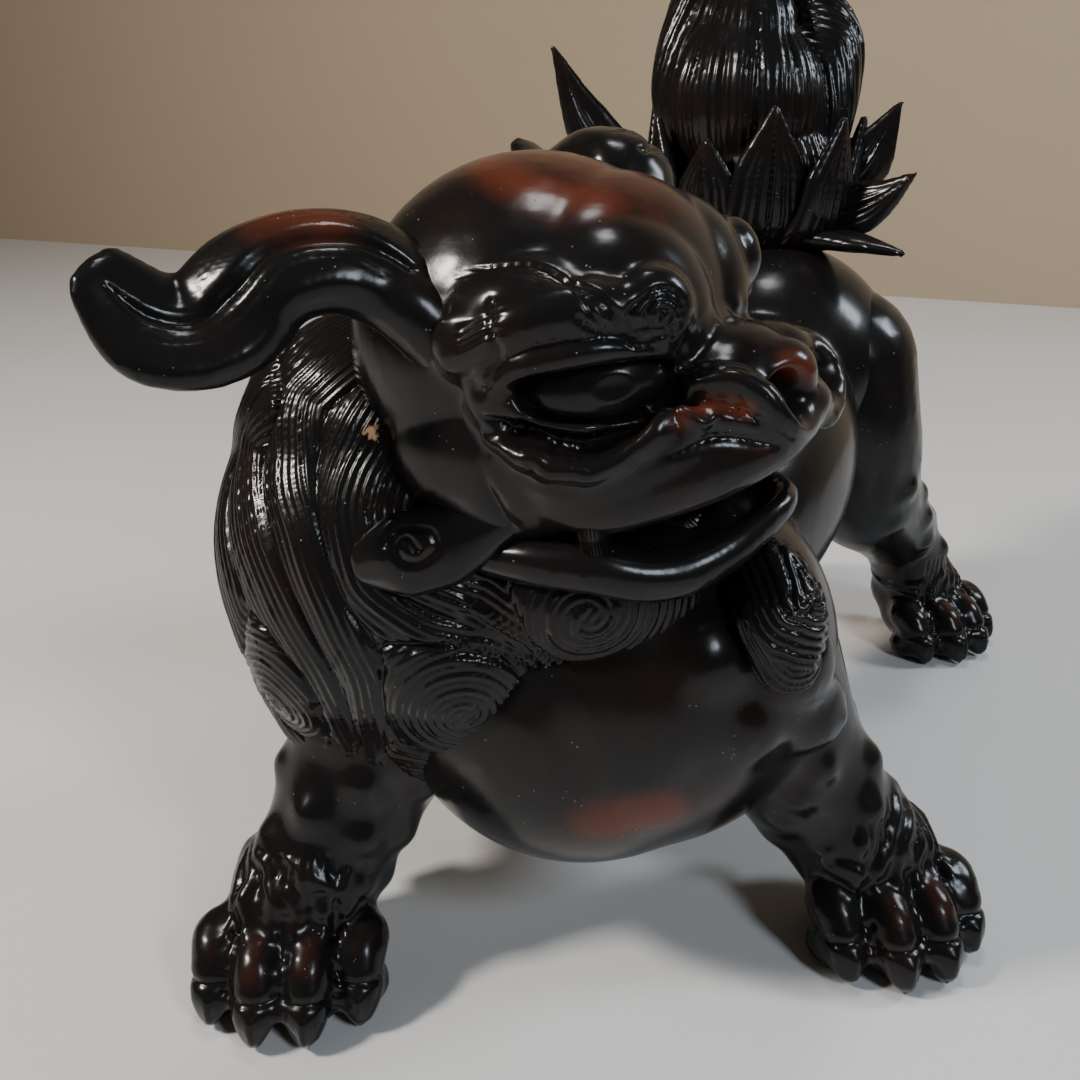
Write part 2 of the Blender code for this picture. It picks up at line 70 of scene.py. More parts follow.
def smoothPath(points, gap=0.5):
    # a Catmull-Rom curve through the points, read about every gap
    pts = [np.array(p, float) for p in points]
    if len(pts) == 1:
        return np.array(pts)
    ends = [2 * pts[0] - pts[1], *pts, 2 * pts[-1] - pts[-2]]
    out = []
    for a, b, c, d in zip(ends, ends[1:], ends[2:], ends[3:]):
        count = max(2, int(np.linalg.norm(c - b) / gap))
        for t in np.arange(count) / count:
            out.append(
                0.5 * (
                    2 * b + (c - a) * t + (2 * a - 5 * b + 4 * c - d) * t**2 + (3 * b - a - 3 * c + d) * t**3
                )
            )
    out.append(pts[-1])
    return np.array(out)


def spread(values, count):
    return np.interp(np.linspace(0, 1, count), np.linspace(0, 1, len(values)), values)


def addLimb(bm, points, radii, gap=1.0, detail=2):
    path = smoothPath(points, gap)
    for centre, radius in zip(path, spread(radii, len(path))):
        addBall(bm, centre, (radius,) * 3, detail=detail)


def addRibbon(bm, points, widths, depths, normal, gap=0.8):
    # a flat band: balls that are thin along normal and wide across the path
    path = smoothPath(points, gap)
    ahead = np.gradient(path, axis=0)
    for centre, way, width, depth in zip(path, ahead, spread(widths, len(path)), spread(depths, len(path))):
        side = Vector(way).cross(Vector(normal)).normalized()
        up = side.cross(Vector(way)).normalized()
        turned = Matrix((side, Vector(way).normalized(), up)).transposed().to_4x4()
        place = Matrix.Translation(centre) @ turned @ Matrix.Diagonal((width, max(depth, 0.9), depth, 1))
        bmesh.ops.create_icosphere(bm, subdivisions=2, radius=1, matrix=place)


def mirrored(points, side):
    return [(side * x, y, z) for x, y, z in points]


def meshPiece(name, bm, place, nodeNames=(), grow=0.3):
    bmesh.ops.transform(bm, matrix=place, verts=bm.verts)
    addNodes(bm, nodeNames, grow)
    bmesh.ops.transform(bm, matrix=Matrix.Scale(mm, 4), verts=bm.verts)
    mesh = bpy.data.meshes.new(name)
    bm.to_mesh(mesh)
    bm.free()
    piece = bpy.data.objects.new(name, mesh)
    bpy.context.scene.collection.objects.link(piece)
    return piece


def addNodes(bm, nodeNames, grow):
    # copies of CAD nodes, each grown a little so that the glue lines between them close
    for nodeName in nodeNames:
        part = bmesh.new()
        part.from_mesh(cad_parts[nodeName].data)
        bmesh.ops.remove_doubles(part, verts=part.verts, dist=0.00002)
        part.normal_update()
        for vert in part.verts:
            vert.co = (vert.co + vert.normal * grow * mm) / mm
        loose = bpy.data.meshes.new("loose")
        part.to_mesh(loose)
        part.free()
        bm.from_mesh(loose)
        bpy.data.meshes.remove(loose)


def applyAll(piece):
    for other in bpy.context.selected_objects:
        other.select_set(False)
    bpy.context.view_layer.objects.active = piece
    for modifier in list(piece.modifiers):
        bpy.ops.object.modifier_apply(modifier=modifier.name)


def keepOuterSkin(piece):
    # drops closed hollows and crumbs that the fusing leaves
    bm = bmesh.new()
    bm.from_mesh(piece.data)
    bm.verts.ensure_lookup_table()
    label = np.full(len(bm.verts), -1)
    sizes = []
    for seed in bm.verts:
        if label[seed.index] >= 0:
            continue
        stack = [seed]
        label[seed.index] = len(sizes)
        count = 0
        while stack:
            vert = stack.pop()
            count += 1
            for edge in vert.link_edges:
                other = edge.other_vert(vert)
                if label[other.index] < 0:
                    label[other.index] = len(sizes)
                    stack.append(other)
        sizes.append(count)
    if len(sizes) > 1:
        keep = int(np.argmax(sizes))
        bmesh.ops.delete(bm, geom=[v for v in bm.verts if label[v.index] != keep], context="VERTS")
        bm.to_mesh(piece.data)
    bm.free()


def fuse(piece, voxel, rounds, levels=1):
    remesh = piece.modifiers.new("fuse", "REMESH")
    remesh.mode = "VOXEL"
    remesh.voxel_size = voxel * mm
    soften = piece.modifiers.new("soften", "SMOOTH")
    soften.factor = 0.5
    soften.iterations = rounds
    applyAll(piece)
    keepOuterSkin(piece)
    if levels:
        finer = piece.modifiers.new("finer", "SUBSURF")
        finer.levels = levels
        finer.render_levels = levels
        applyAll(piece)
    piece.data.shade_smooth()
    return piece


# Clay: a skin's points as arrays, while strokes raise and sink them along the normals


class Clay:
    def __init__(self, piece, place=bodyPlace):
        self.piece = piece
        self.place = place
        count = len(piece.data.vertices)
        self.points = np.empty(count * 3, np.float32)
        piece.data.vertices.foreach_get("co", self.points)
        self.points = self.points.reshape(-1, 3) / mm
        self.readNormals()

    def readNormals(self):
        self.normals = np.empty(len(self.points) * 3, np.float32)
        self.piece.data.vertices.foreach_get("normal", self.normals)
        self.normals = self.normals.reshape(-1, 3)

    def settle(self):
        self.piece.data.vertices.foreach_set("co", (self.points * mm).ravel())
        self.piece.data.update()
        self.readNormals()

    def outside(self, path):
        # a path in the head's or the body's frame, as points of the statue
        turned = np.array(self.place)
        return path @ turned[:3, :3].T + turned[:3, 3]

    def near(self, path, reach):
        low, high = path.min(0) - reach, path.max(0) + reach
        return np.nonzero(((self.points > low) & (self.points < high)).all(1))[0]

    def closest(self, index, path):
        spots = self.points[index]
        best = np.full(len(index), 1e9, np.float32)
        which = np.zeros(len(index), int)
        for start in range(0, len(path), 64):
            gaps = ((spots[:, None] - path[None, start : start + 64]) ** 2).sum(2)
            here = gaps.argmin(1)
            value = gaps[np.arange(len(index)), here]
            nearer = value < best
            best[nearer] = value[nearer]
            which[nearer] = here[nearer] + start
        return np.sqrt(best), which

    def stroke(self, points, width, height, shape="round", taper=(1, 1, 1), push=None):
        path = self.outside(smoothPath(points, 0.4)).astype(np.float32)
        index = self.near(path, width * 3)
        if not len(index):
            return
        gap, which = self.closest(index, path)
        size = spread(taper, len(path))[which]
        ratio = gap / (width * np.maximum(size, 0.15))
        if shape == "crease":
            weight = np.exp(-ratio)
        elif shape == "flat":
            weight = 1 / (1 + ratio**6)
        else:
            weight = np.exp(-(ratio**2))
        way = self.normals[index]
        if push is not None:
            way = np.array(push, np.float32) @ np.array(self.place)[:3, :3].T
        self.points[index] += way * (height * size * weight)[:, None]

    def cut(self, tree, points, width, height, shape="round", taper=(1, 1, 1)):
        # a stroke whose line is first laid on the skin
        line = layOn(tree, self.outside(smoothPath(points, 0.6)))
        place, self.place = self.place, worldPlace
        self.stroke(line[::2], width, height, shape, taper)
        self.place = place

    def dab(self, centre, radius, height, shape="round", push=None):
        self.stroke([centre, np.array(centre) + 0.01], radius, height, shape, push=push)

    def comb(self, guides, pitch, depth, crown, valley, mask=None):
        # hair: fine grooves that run along the nearest guide, on locks that are crowned between guides
        samples = np.concatenate(guides).astype(np.float32)
        owner = np.concatenate([np.full(len(g), i) for i, g in enumerate(guides)])
        along = np.concatenate([np.gradient(g, axis=0) for g in guides]).astype(np.float32)
        along /= np.maximum(np.linalg.norm(along, axis=1), 1e-6)[:, None]  # points may coincide
        starts = np.concatenate([[0], np.nonzero(np.diff(owner))[0] + 1])
        lift = np.zeros(len(self.points), np.float32)
        for start in range(0, len(self.points), 20000):
            part = slice(start, start + 20000)
            spots, way = self.points[part], self.normals[part]
            gaps = (spots**2).sum(1)[:, None] + (samples**2).sum(1)[None] - 2 * spots @ samples.T
            which = gaps.argmin(1)
            perGuide = np.sqrt(np.maximum(np.minimum.reduceat(gaps, starts, axis=1), 0))
            perGuide.partition(1, axis=1)
            first, second = perGuide[:, 0], perGuide[:, 1]
            across = np.cross(along[which], way)
            offset = ((spots - samples[which]) * across).sum(1)
            drift = 0.06 * np.sin(spots[:, 2] * 0.7) + 0.05 * np.sin(spots[:, 0] * 0.9 + offset)
            strand = np.abs(np.sin(np.pi * (offset / pitch + drift))) ** 0.8
            strand *= 0.78 + 0.22 * np.sin(offset * 2.1 + first * 0.8)
            share = 2 * first / np.maximum(first + second, 0.1)
            edge = np.exp(-(((second - first) / 0.9) ** 2))
            lift[part] = depth * (strand - 0.6) + crown * (1 - share**2) - valley * edge
        if mask is not None:
            lift *= mask
        self.points += self.normals * lift[:, None]


# Materials


class Sock:
    def __init__(self, recipe, socket):
        self.recipe, self.socket = recipe, socket

    def maths(self, operation, other, swap=False):
        pair = (other, self) if swap else (self, other)
        return self.recipe.node("ShaderNodeMath", {"operation": operation}, {0: pair[0], 1: pair[1]})

    def __add__(self, other):
        return self.maths("ADD", other)

    def __sub__(self, other):
        return self.maths("SUBTRACT", other)

    def __mul__(self, other):
        return self.maths("MULTIPLY", other)

    def __pow__(self, other):
        return self.maths("POWER", other)

    def __gt__(self, other):
        return self.maths("GREATER_THAN", other)

    def __rsub__(self, other):
        return self.maths("SUBTRACT", other, True)

    __radd__ = __add__
    __rmul__ = __mul__


class Recipe:
    def __init__(self, name):
        self.material = bpy.data.materials.new(name)
        self.material.use_nodes = True
        self.tree = self.material.node_tree
        self.shader = self.tree.nodes["Principled BSDF"]
        self.coords = self.node("ShaderNodeTexCoord", {}, {}, "Object")

    def node(self, kind, settings, inputs, output=0):
        made = self.tree.nodes.new(kind)
        for key, value in settings.items():
            if key == "stops":
                ramp = made.color_ramp
                while len(ramp.elements) < len(value):
                    ramp.elements.new(0.5)
                for element, (place, colour) in zip(ramp.elements, value):
                    element.position, element.color = place, (*colour, 1)
            else:
                setattr(made, key, value)
        for key, value in inputs.items():
            self.feed(made.inputs[key], value)
        return Sock(self, made.outputs[output])

    def feed(self, socket, value):
        if isinstance(value, Sock):
            self.tree.links.new(value.socket, socket)
        elif isinstance(value, tuple) and len(value) == 3 and socket.type == "RGBA":
            socket.default_value = (*value, 1)
        else:
            socket.default_value = value

    def noise(self, scale, detail=3, roughness=0.5, where=None):
        inputs = {"Vector": where or self.coords, "Scale": scale, "Detail": detail, "Roughness": roughness}
        return self.node("ShaderNodeTexNoise", {}, inputs, "Fac")

    def ramp(self, value, low, high):
        limits = {"Value": value, "From Min": low, "From Max": high}
        return self.node("ShaderNodeMapRange", {"interpolation_type": "SMOOTHSTEP"}, limits)

    def mix(self, factor, first, second):
        inputs = {"Factor": factor, 6: first, 7: second}
        return self.node("ShaderNodeMix", {"data_type": "RGBA"}, inputs, 2)

    def attribute(self, name):
        return self.node("ShaderNodeAttribute", {"attribute_name": name}, {}, "Fac")

    def finish(self, **sockets):
        for name, value in sockets.items():
            self.feed(self.shader.inputs[name.replace("_", " ")], value)
        return self.material


lacquerSettings = {
    "black": (0.008, 0.0075, 0.0075),
    "brown": (0.014, 0.009, 0.0075),
    "wornRed": (0.1, 0.024, 0.012),
    "bareTan": (0.62, 0.36, 0.19),
    "roughness": 0.19,
    "dust": (0.55, 0.53, 0.5),
}


def makeLacquer(name, settings):
    recipe = Recipe(name)
    cloud = recipe.noise(70, 4, 0.55)
    base = recipe.mix(recipe.ramp(cloud, 0.45, 0.72), settings["black"], settings["brown"])
    # "worn" is painted on the high spots of each piece, and breaks up at its edge
    worn = recipe.attribute("worn")
    rub = recipe.ramp(worn + (recipe.noise(190, 5, 0.6) - 0.5) * 0.5, 0.2, 0.95)
    base = recipe.mix(rub, base, settings["wornRed"])
    chip = recipe.attribute("chip")
    bare = recipe.ramp(chip + (recipe.noise(1500, 4, 0.65) - 0.5) * 0.7, 0.42, 0.56)
    base = recipe.mix(bare, base, settings["bareTan"])
    speck = recipe.node(
        "ShaderNodeTexVoronoi", {}, {"Vector": recipe.coords, "Scale": 1150, "Randomness": 1.0}, "Distance",
    )
    sparse = recipe.noise(260, 2, 0.5) > 0.64
    dust = recipe.ramp(speck, 0.16, 0.09) * sparse
    base = recipe.mix(dust * 0.3, base, settings["dust"])
    patchy = recipe.noise(160, 3, 0.6)
    rough = settings["roughness"] + patchy * 0.12 - 0.04 + bare * 0.45 + dust * 0.25
    fine = recipe.noise(1300, 4, 0.6)
    wave = recipe.noise(330, 3, 0.5)
    bump = recipe.node(
        "ShaderNodeBump",
        {},
        {"Strength": 0.35, "Distance": 0.00012, "Height": wave * 0.7 + fine * 0.25 + dust * 0.8},
        "Normal",
    )
    return recipe.finish(Base_Color=base, Roughness=rough, Normal=bump, Specular_IOR_Level=0.26)


lacquer = makeLacquer("blackLacquer", lacquerSettings)


def paint(clay, name, spots):
    # writes an attribute from soft spots: centre, reach, strength
    value = np.zeros(len(clay.points), np.float32)
    for path, reach, strength in spots:
        path = clay.outside(smoothPath(path, 0.8)).astype(np.float32)
        index = clay.near(path, reach * 2)
        if len(index):
            gap, _ = clay.closest(index, path)
            value[index] = np.maximum(value[index], strength * np.exp(-((gap / reach) ** 2)))
    layer = clay.piece.data.attributes.new(name, "FLOAT", "POINT")
    layer.data.foreach_set("value", value)


def finishPiece(piece, nodeNames, material):
    piece.data.materials.clear()
    piece.data.materials.append(material)
    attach(piece, "root")
    if nodeNames:
        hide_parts(*nodeNames)


def skinTree(piece):
    mesh = piece.data
    corners = [vert.co / mm for vert in mesh.vertices]
    return BVHTree.FromPolygons(corners, [face.vertices[:] for face in mesh.polygons])


def layOn(tree, points, middle=None):
    # drops points on a skin: along the line to middle, or straight to the closest spot
    out = []
    for point in points:
        point = Vector(point)
        if middle is None:
            spot = tree.find_nearest(point)[0]
        else:
            way = (Vector(middle) - point).normalized()
            spot = tree.ray_cast(Vector(middle) - way * 80, way)[0]
        if spot:
            out.append(tuple(spot))
    return np.array(out, np.float32)


def spiral(tree, centre, facing, radius, gap, inner=0.5, turn=1, start=0.0, middle=None):
    # a snail line that lies on the skin round centre
    facing = Vector(facing).normalized()
    side = facing.orthogonal().normalized()
    up = facing.cross(side)
    count = int(radius * radius * math.pi / gap / 0.8)
    out = []
    for step in range(count):
        reach = inner + (radius - inner) * math.sqrt(step / count)
        angle = start + turn * 2 * math.pi * reach / gap
        out.append(
            Vector(centre) + side * reach * math.cos(angle) + up * reach * math.sin(angle) + facing * 3
        )
    return layOn(tree, out, middle)


# Mane

maneSettings = {"voxel": 1.3, "rounds": 8, "pitch": 1.2, "depth": 0.4, "crown": 0.7, "valley": 0.5}
maneMiddle = (-25, -46.9, 61.5)


def maneForms(bm):
    x, y, z = -25, -8, 61.5
    addBall(bm, (x, y, z), (33.9, 33, 33.9))
    addBall(bm, (x - 4, y - 5, z - 18), (24, 22, 20))
    addBall(bm, (-27, -8, 78), (29, 26, 22))
    addBall(bm, (-9, 13, 59), (28, 22, 20))
    addBall(bm, (-4, -8, 66), (25.5, 25, 15.5))


def maneSpot(azimuth, elevation, reach=34):
    a, e = math.radians(azimuth), math.radians(elevation)
    way = Vector((math.cos(e) * math.cos(a), math.cos(e) * math.sin(a), math.sin(e)))
    return Vector(maneMiddle) + way * reach, way


maneLocks = (
    (
        (-79, 45), (-82, 38), (-82, 28), (-78, 17), (-74, 11), (-64, 4), (-53, 0), (-38, -6), (-34, -18),
        (-42, -34), (-58, -42), (-74, -40),
    ),
    ((-111, 57), (-114, 49), (-106, 35), (-94, 21), (-84, 4), (-78, -11), (-79, -26), (-83, -42)),
    ((-119, 46), (-129, 36), (-120, 25), (-104, 9), (-93, -6), (-88, -20), (-90, -42)),
    ((-140, 42), (-146, 25), (-136, 10), (-124, -4), (-120, -18), (-118, -34), (-106, -44), (-96, -42)),
    ((-50, 8), (-42, 2), (-34, -4), (-22, -8), (-10, -12)),
    ((-62, 14), (-52, 9), (-44, 4), (-38, -2), (-26, -16)),
    ((-160, 40), (-164, 20), (-156, 2), (-150, -14), (-146, -30)),
    ((-178, 46), (-180, 26), (-176, 6), (-172, -12)),
)
maneSpirals = ((-53, -17, 11.4, 1), (-107, -24, 8.6, -1), (-31.5, 7, 7.4, 1), (-150, -34, 6, 1))

maneBase = bmesh.new()
maneForms(maneBase)
curlNodes = [
    "mane_curl_chest", "mane_curl_shoulder", "mane_curl_chin", "mane_curl_flank", "mane_curl_nape",
    "mane_curl_back",
]
mane = fuse(meshPiece("maneSkin", maneBase, bodyPlace), maneSettings["voxel"], maneSettings["rounds"], 2)
clay = Clay(mane, worldPlace)
for azimuth, elevation, radius, turn in maneSpirals:
    for flip in (1, -1):
        clay.dab(maneSpot(azimuth * flip, elevation)[0], radius * 0.8, 1.6)
clay.settle()
tree = skinTree(mane)
guides = []
for lock in maneLocks:
    for flip in (1, -1):
        spots = [maneSpot(azimuth * flip, elevation)[0] for azimuth, elevation in lock]
        guides.append(layOn(tree, smoothPath(spots, 0.9), maneMiddle))
for azimuth, elevation, radius, turn in maneSpirals:
    for flip in (1, -1):
        spot, way = maneSpot(azimuth * flip, elevation)
        guides.append(
            spiral(tree, spot, way, radius, maneSettings["pitch"] * 2, 0.4, turn * flip, 0, maneMiddle)
        )
clay = Clay(mane, worldPlace)
clay.comb(guides, maneSettings["pitch"], maneSettings["depth"], maneSettings["crown"], maneSettings["valley"])
clay.settle()
paint(clay, "worn", [([(-50, -70, 88), (-52, -66, 80)], 4, 0.3)])
paint(clay, "chip", [([(-16.4, -70.6, 91.4), (-19.4, -71.6, 87)], 1.7, 1.0)])


def splitPiece(piece, name, point, normal):
    # cuts a closed piece in two closed pieces, and gives back the second
    other = piece.copy()
    other.data = piece.data.copy()
    other.name = name
    bpy.context.scene.collection.objects.link(other)
    for half, way in ((piece, normal), (other, [-n for n in normal])):
        for each in bpy.context.selected_objects:
            each.select_set(False)
        bpy.context.view_layer.objects.active = half
        half.select_set(True)
        bpy.ops.object.mode_set(mode="EDIT")
        bpy.ops.mesh.select_all(action="SELECT")
        bpy.ops.mesh.bisect(plane_co=Vector(point) * mm, plane_no=way, use_fill=True, clear_outer=True)
        # the cut face keeps a crisp rim, so that the skin shades as if it went on
        bm = bmesh.from_edit_mesh(half.data)
        for face in bm.faces:
            if face.select:
                face.smooth = False
                for edge in face.edges:
                    edge.smooth = False
        bmesh.update_edit_mesh(half.data)
        bpy.ops.object.mode_set(mode="OBJECT")
        half.data.validate()  # the cap can repeat a face that lies in the cut
    return other


maneBack = splitPiece(mane, "maneBack", (-30, -46.9, 61.5), (-0.7, 0.7, 0.1))
maneChest = splitPiece(mane, "maneChest", (-12, -46.9, 61.5), (0.7, 0.7, 0))
maneFlank = splitPiece(maneBack, "maneFlank", (-30, -40, 61.5), (0.7, 0.7, 0))
finishPiece(mane, ["neck_mane", *curlNodes], lacquer)
for part in (maneBack, maneChest, maneFlank):
    finishPiece(part, ["neck_mane"], lacquer)
print("mane", *(len(part.data.polygons) * 2 for part in (mane, maneBack, maneChest, maneFlank)))


# Head

skullSettings = {"voxel": 0.79, "rounds": 4}


def skullForms(bm):
    addBall(bm, (0, 8, 8.5), (24, 25, 24.5))
    addBall(bm, (0, -3, 14), (19, 15, 15.5))
    addBall(bm, (0, -14, 0.5), (18, 15, 8))
    addLimb(bm, [(0, -10, 11), (-1, -17, 4.8), (-1, -23, 2.6)], [7, 6, 5.4])
    addBall(bm, (-2.8, -19, 3.4), (10.2, 8.6, 7.4))
    addBall(bm, (-2.4, -25, 4), (5.6, 4.8, 4.6))  # nose
    for side in (-1, 1):
        addBall(bm, (side * 7, -6, 13.4), (12.8, 13, 12.8))
        addBall(bm, (side * 16.4, 6, -1), (9.6, 16.6, 12))
        addBall(bm, (side * 14.6, 0, 15.6), (10, 12, 8))
        addBall(bm, (side * 8, -19.5, 2.6), (7, 7.4, 5.4))
        flap = [
            (21.6, 1, -1.5), (20.6, -2.6, -3.9), (19, -7.5, -5.5), (17.4, -12, -5), (15.2, -17, -4.1),
            (12, -21.5, -3.1), (7, -25.5, -1.8), (0, -27, -0.6),
        ]
        addLimb(bm, mirrored(flap, side), [3.4, 4.3, 4.6, 4.4, 4.2, 4, 3.8, 3.6], 0.7)
        addLimb(
            bm,
            mirrored(
                [(22.6, 0.6, 1), (21.4, -5, -2.2), (19, -11, -2.4), (15.6, -17, -0.8), (12, -22, -0.6)],
                side,
            ),
            [3.2, 3.7, 3.6, 3.6, 3.4], 0.7,
        )
        roll = [
            (24.5, 2, 4.6), (24, -3.6, 1.9), (21.6, -8.6, -0.3), (18.6, -13, 0.4), (16.4, -17, 2),
            (14.4, -20.8, 3.2), (12.2, -24, 1.9), (9.6, -27, -0.8),
        ]
        addLimb(bm, mirrored(roll, side), [1.2, 2.1, 2.3, 2.3, 2.4, 2.3, 2, 1.4], 0.6)
        drop = 0.6 if side < 0 else 2.8  # the far nostril sits lower
        wing = [
            (13.6, -15, 5.6), (12.9, -19.2, 7), (12.2, -23, 7.2), (11.8, -26.2, 5.2), (11.2, -28, 2.4),
            (8.8, -28.8, 0), (4, -28.6, -1),
        ]
        addLimb(bm, [(side * x, y, z - drop) for x, y, z in wing], [1.4, 1.9, 2, 1.9, 1.8, 1.7, 1.8], 0.6)
        upperLid = [(25.2, 0.4, 11), (24, -5, 12.6), (21, -10.4, 13), (17.3, -14, 12), (14, -16.6, 10)]
        addLimb(bm, mirrored(upperLid, side), [1.2, 1.9, 2.1, 1.9, 1.2], 0.6)
        lowerLid = [(24, -1.5, 8), (23.2, -4.4, 5.6), (21.2, -8.4, 4), (18, -12, 3.6), (15, -15.6, 4.6)]
        addLimb(bm, mirrored(lowerLid, side), [2, 2, 2, 1.8, 1.2], 0.6)
        addBall(bm, (side * 22.6, 1, 8), (3.4, 4.6, 5))
        brow = [(24, 5, 13.5), (22.4, -3, 16.4), (18.6, -10, 16.6), (14.4, -14.5, 15)]
        addLimb(bm, mirrored(brow, side), [2.2, 3.7, 3.9, 3.4])
        addBall(bm, (side * 14, -15.4, 15.4), (5, 3.4, 5), (0, 0, side * 40))
        addBall(bm, (side * 23.4, 4, 14.6), (2.2, 4.4, 4.4))  # the small flap before the ear


skullBase = bmesh.new()
skullForms(skullBase)
skull = fuse(meshPiece("skullSkin", skullBase, headPlace), skullSettings["voxel"], skullSettings["rounds"])
head = Clay(skull, headPlace)
for side in (-1, 1):
    head.stroke(mirrored([(22.8, -4.6, 8.8), (20, -9.4, 8), (15.6, -15, 7)], side), 2.8, -1.7, "flat")
    head.dab((side * 7.6, -29.4, 3.6 - (0.4 if side < 0 else 2.4)), 2.5, 5.5, "flat", (-side * 0.2, 1, 0.12))
head.settle()
tree = skinTree(skull)
headWay = headPlace.to_3x3()
for side in (-1, 1):
    # the slit over the nostril roll, the crease under it, and the fold over the eyelid
    head.cut(
        tree,
        mirrored(
            [(14.6, -13, 3.2), (15.4, -16.6, 4.4), (14.6, -20.6, 5.2), (13.9, -23.6, 4), (12.4, -26, 1.6)],
            side,
        ),
        0.75, -1.5, "crease", (0.3, 1, 1, 1, 0.5),
    )
    head.cut(
        tree, mirrored([(17.4, -16.4, -0.4), (15.4, -20.6, 1.0), (13.2, -24, 0), (10.6, -27, -2)], side),
        0.5, -0.9, "crease", (0.3, 1, 1, 0.4),
    )
    head.cut(
        tree, mirrored([(14.2, -17.4, 6.8), (13.4, -21, 9), (12.2, -24.4, 8.6), (11.6, -27, 6)], side), 0.5,
        -0.6, "crease", (0.3, 1, 1, 0.5),
    )
    head.cut(
        tree, mirrored([(25.4, 0.5, 13.2), (23.8, -6, 14.6), (20, -11.6, 14), (15.6, -15.4, 12)], side), 0.5,
        -0.7, "crease", (0.4, 1, 1, 0.6),
    )
    # the wavy ridge over the lip flap, the valley between it and the eye, and the flap's back edge
    ridge = [
        (24.5, 2, 4.6), (24, -3.6, 1.9), (21.6, -8.6, -0.3), (18.6, -13, 0.4), (16.4, -17, 2),
        (14.4, -20.8, 3.2),
    ]
    head.cut(tree, mirrored(ridge, side), 1.5, 1.7, "round", (0.3, 1, 1, 1, 0.9, 0.3))
    valley = [(25, 1.6, 7.4), (24.2, -3.6, 4.6), (21.8, -8.6, 2.5), (18.8, -13, 3.1), (16.8, -16.6, 4.6)]
    head.cut(tree, mirrored(valley, side), 1.3, -2.3, "round", (0.2, 1, 1, 1, 0.4))
    head.cut(
        tree, mirrored([(26, 3.6, 1.6), (25.6, 3, -3), (24, 2, -7.6)], side), 0.9, -0.9, "crease",
        (0.2, 1, 1),
    )
    # strands from the ear down under the snail curl, and the curl itself
    for shift in (0, 1.1, 2.2, 3.2):
        strand = [
            (20.6, 4.8 + shift * 0.4, 20.6 + shift * 0.9), (18.6, -3.9, 19.3 + shift),
            (19.9, -10.2, 15.9 + shift), (18.8, -14.5, 13.1 + shift * 0.7),
            (17.8, -17.6, 12.8 + shift * 0.4),
        ]
        head.cut(tree, mirrored(strand, side), 0.4, -0.62, "round", (0.2, 0.8, 1, 1, 0.8))
    for shift in (0, 1, 2):
        strand = [(24.6, 3, 15 + shift), (24.4, -1, 16.2 + shift), (23.4, -5, 16.6 + shift)]
        head.cut(tree, mirrored(strand, side), 0.32, -0.34, "round", (1, 1, 0.1))
    centre = headPlace @ Vector((side * 16.4, -17, 15))
    snail = spiral(tree, centre, headWay @ Vector((side * 0.75, -0.85, 0.1)), 4.6, 1.4, 0.5, side)
    head.place = worldPlace
    head.stroke(snail[::2], 0.36, -0.6)
    head.place = headPlace
    flapEdge = [(22.4, -0.6, 18.8), (24.2, -1.8, 15.6), (24.8, -0.8, 11.8), (24.6, 2, 9.6)]
    head.cut(tree, mirrored(flapEdge, side), 0.4, -0.75, "crease")
    head.dab((side * 4.2, -17.6, 11), 1.3, 0.8)
    head.dab((side * 7.6, -17.4, 10), 1.3, 0.7)
head.settle()
worn = [
    ([(-4, 8, 33), (-8, 3, 31.3), (-9.5, -3, 29.5), (-8, -8, 27.5)], 5.4, 0.8),
    ([(2, 14, 33), (0, 0, 31), (0, -8, 27)], 12, 0.62),
    ([(-4, -29, 5), (-5.6, -27.4, 5.8)], 2.6, 0.9),
]
for side in (-1, 1):
    worn.append((mirrored([(17.4, -17, 3), (15, -21, 4.6), (13, -24.4, 3.4)], side), 1.8, 0.85))
    worn.append((mirrored([(15, -22, -1), (12, -26, -2)], side), 2, 0.45))
paint(head, "worn", worn)
paint(head, "chip", [([(-24.5, 6.4, 21), (-24.5, 7.4, 20)], 0.8, 1.0)])
finishPiece(
    skull, ["skull", "brow_curl_left", "brow_curl_right", "ear_peg_left", "ear_peg_right", "head_peg"],
    lacquer,
)
print("skull", len(skull.data.polygons) * 2)


# Lower jaw and tongue

jawSettings = {"voxel": 0.75, "rounds": 3, "depth": 4.5}


def jawForms(bm):
    addBall(bm, (0, -4, -17), (19.5, 16.5, 6.2))
    addBall(bm, (0, -15.5, -15.4), (9.5, 6.5, 5.4))
    for side in (-1, 1):
        lip = [
            (22.4, 7, -12), (21.6, 0, -13), (20.2, -6, -14), (17.6, -10.8, -16.2), (13.6, -15, -17),
            (8.8, -19, -15.8), (3.6, -21.6, -13.8), (0, -22.4, -13.2),
        ]
        addLimb(bm, mirrored(lip, side), [2.8, 3.5, 3.7, 3.7, 3.6, 3.2, 3, 3], 0.6)


jawBase = bmesh.new()
jawForms(jawBase)
jaw = fuse(meshPiece("lowerJawSkin", jawBase, headPlace), jawSettings["voxel"], jawSettings["rounds"])
clay = Clay(jaw, headPlace)
clay.stroke([(0, -15, -10), (0, -6, -9), (0, 2, -9)], 7.5, -jawSettings["depth"], "flat", push=(0, 0, 1))
for side in (-1, 1):
    clay.stroke(
        mirrored(
            [
                (23.4, 7, -15), (23, 0, -16), (21, -7, -17.2), (17, -12.6, -19.4), (11, -17, -20),
                (4, -20, -18.4),
            ],
            side,
        ),
        0.6, -0.8, "crease", (0.3, 1, 1, 1, 1, 0.3),
    )
clay.settle()
paint(clay, "worn", [])
paint(
    clay, "chip",
    [
        ([(-20, 0, -10.8), (-20, 1.4, -10.8)], 0.9, 1.0),
        ([(-15.4, -11.4, -12.6), (-14.6, -12, -12.6)], 0.8, 1.0),
    ],
)
finishPiece(jaw, ["lower_jaw"], lacquer)

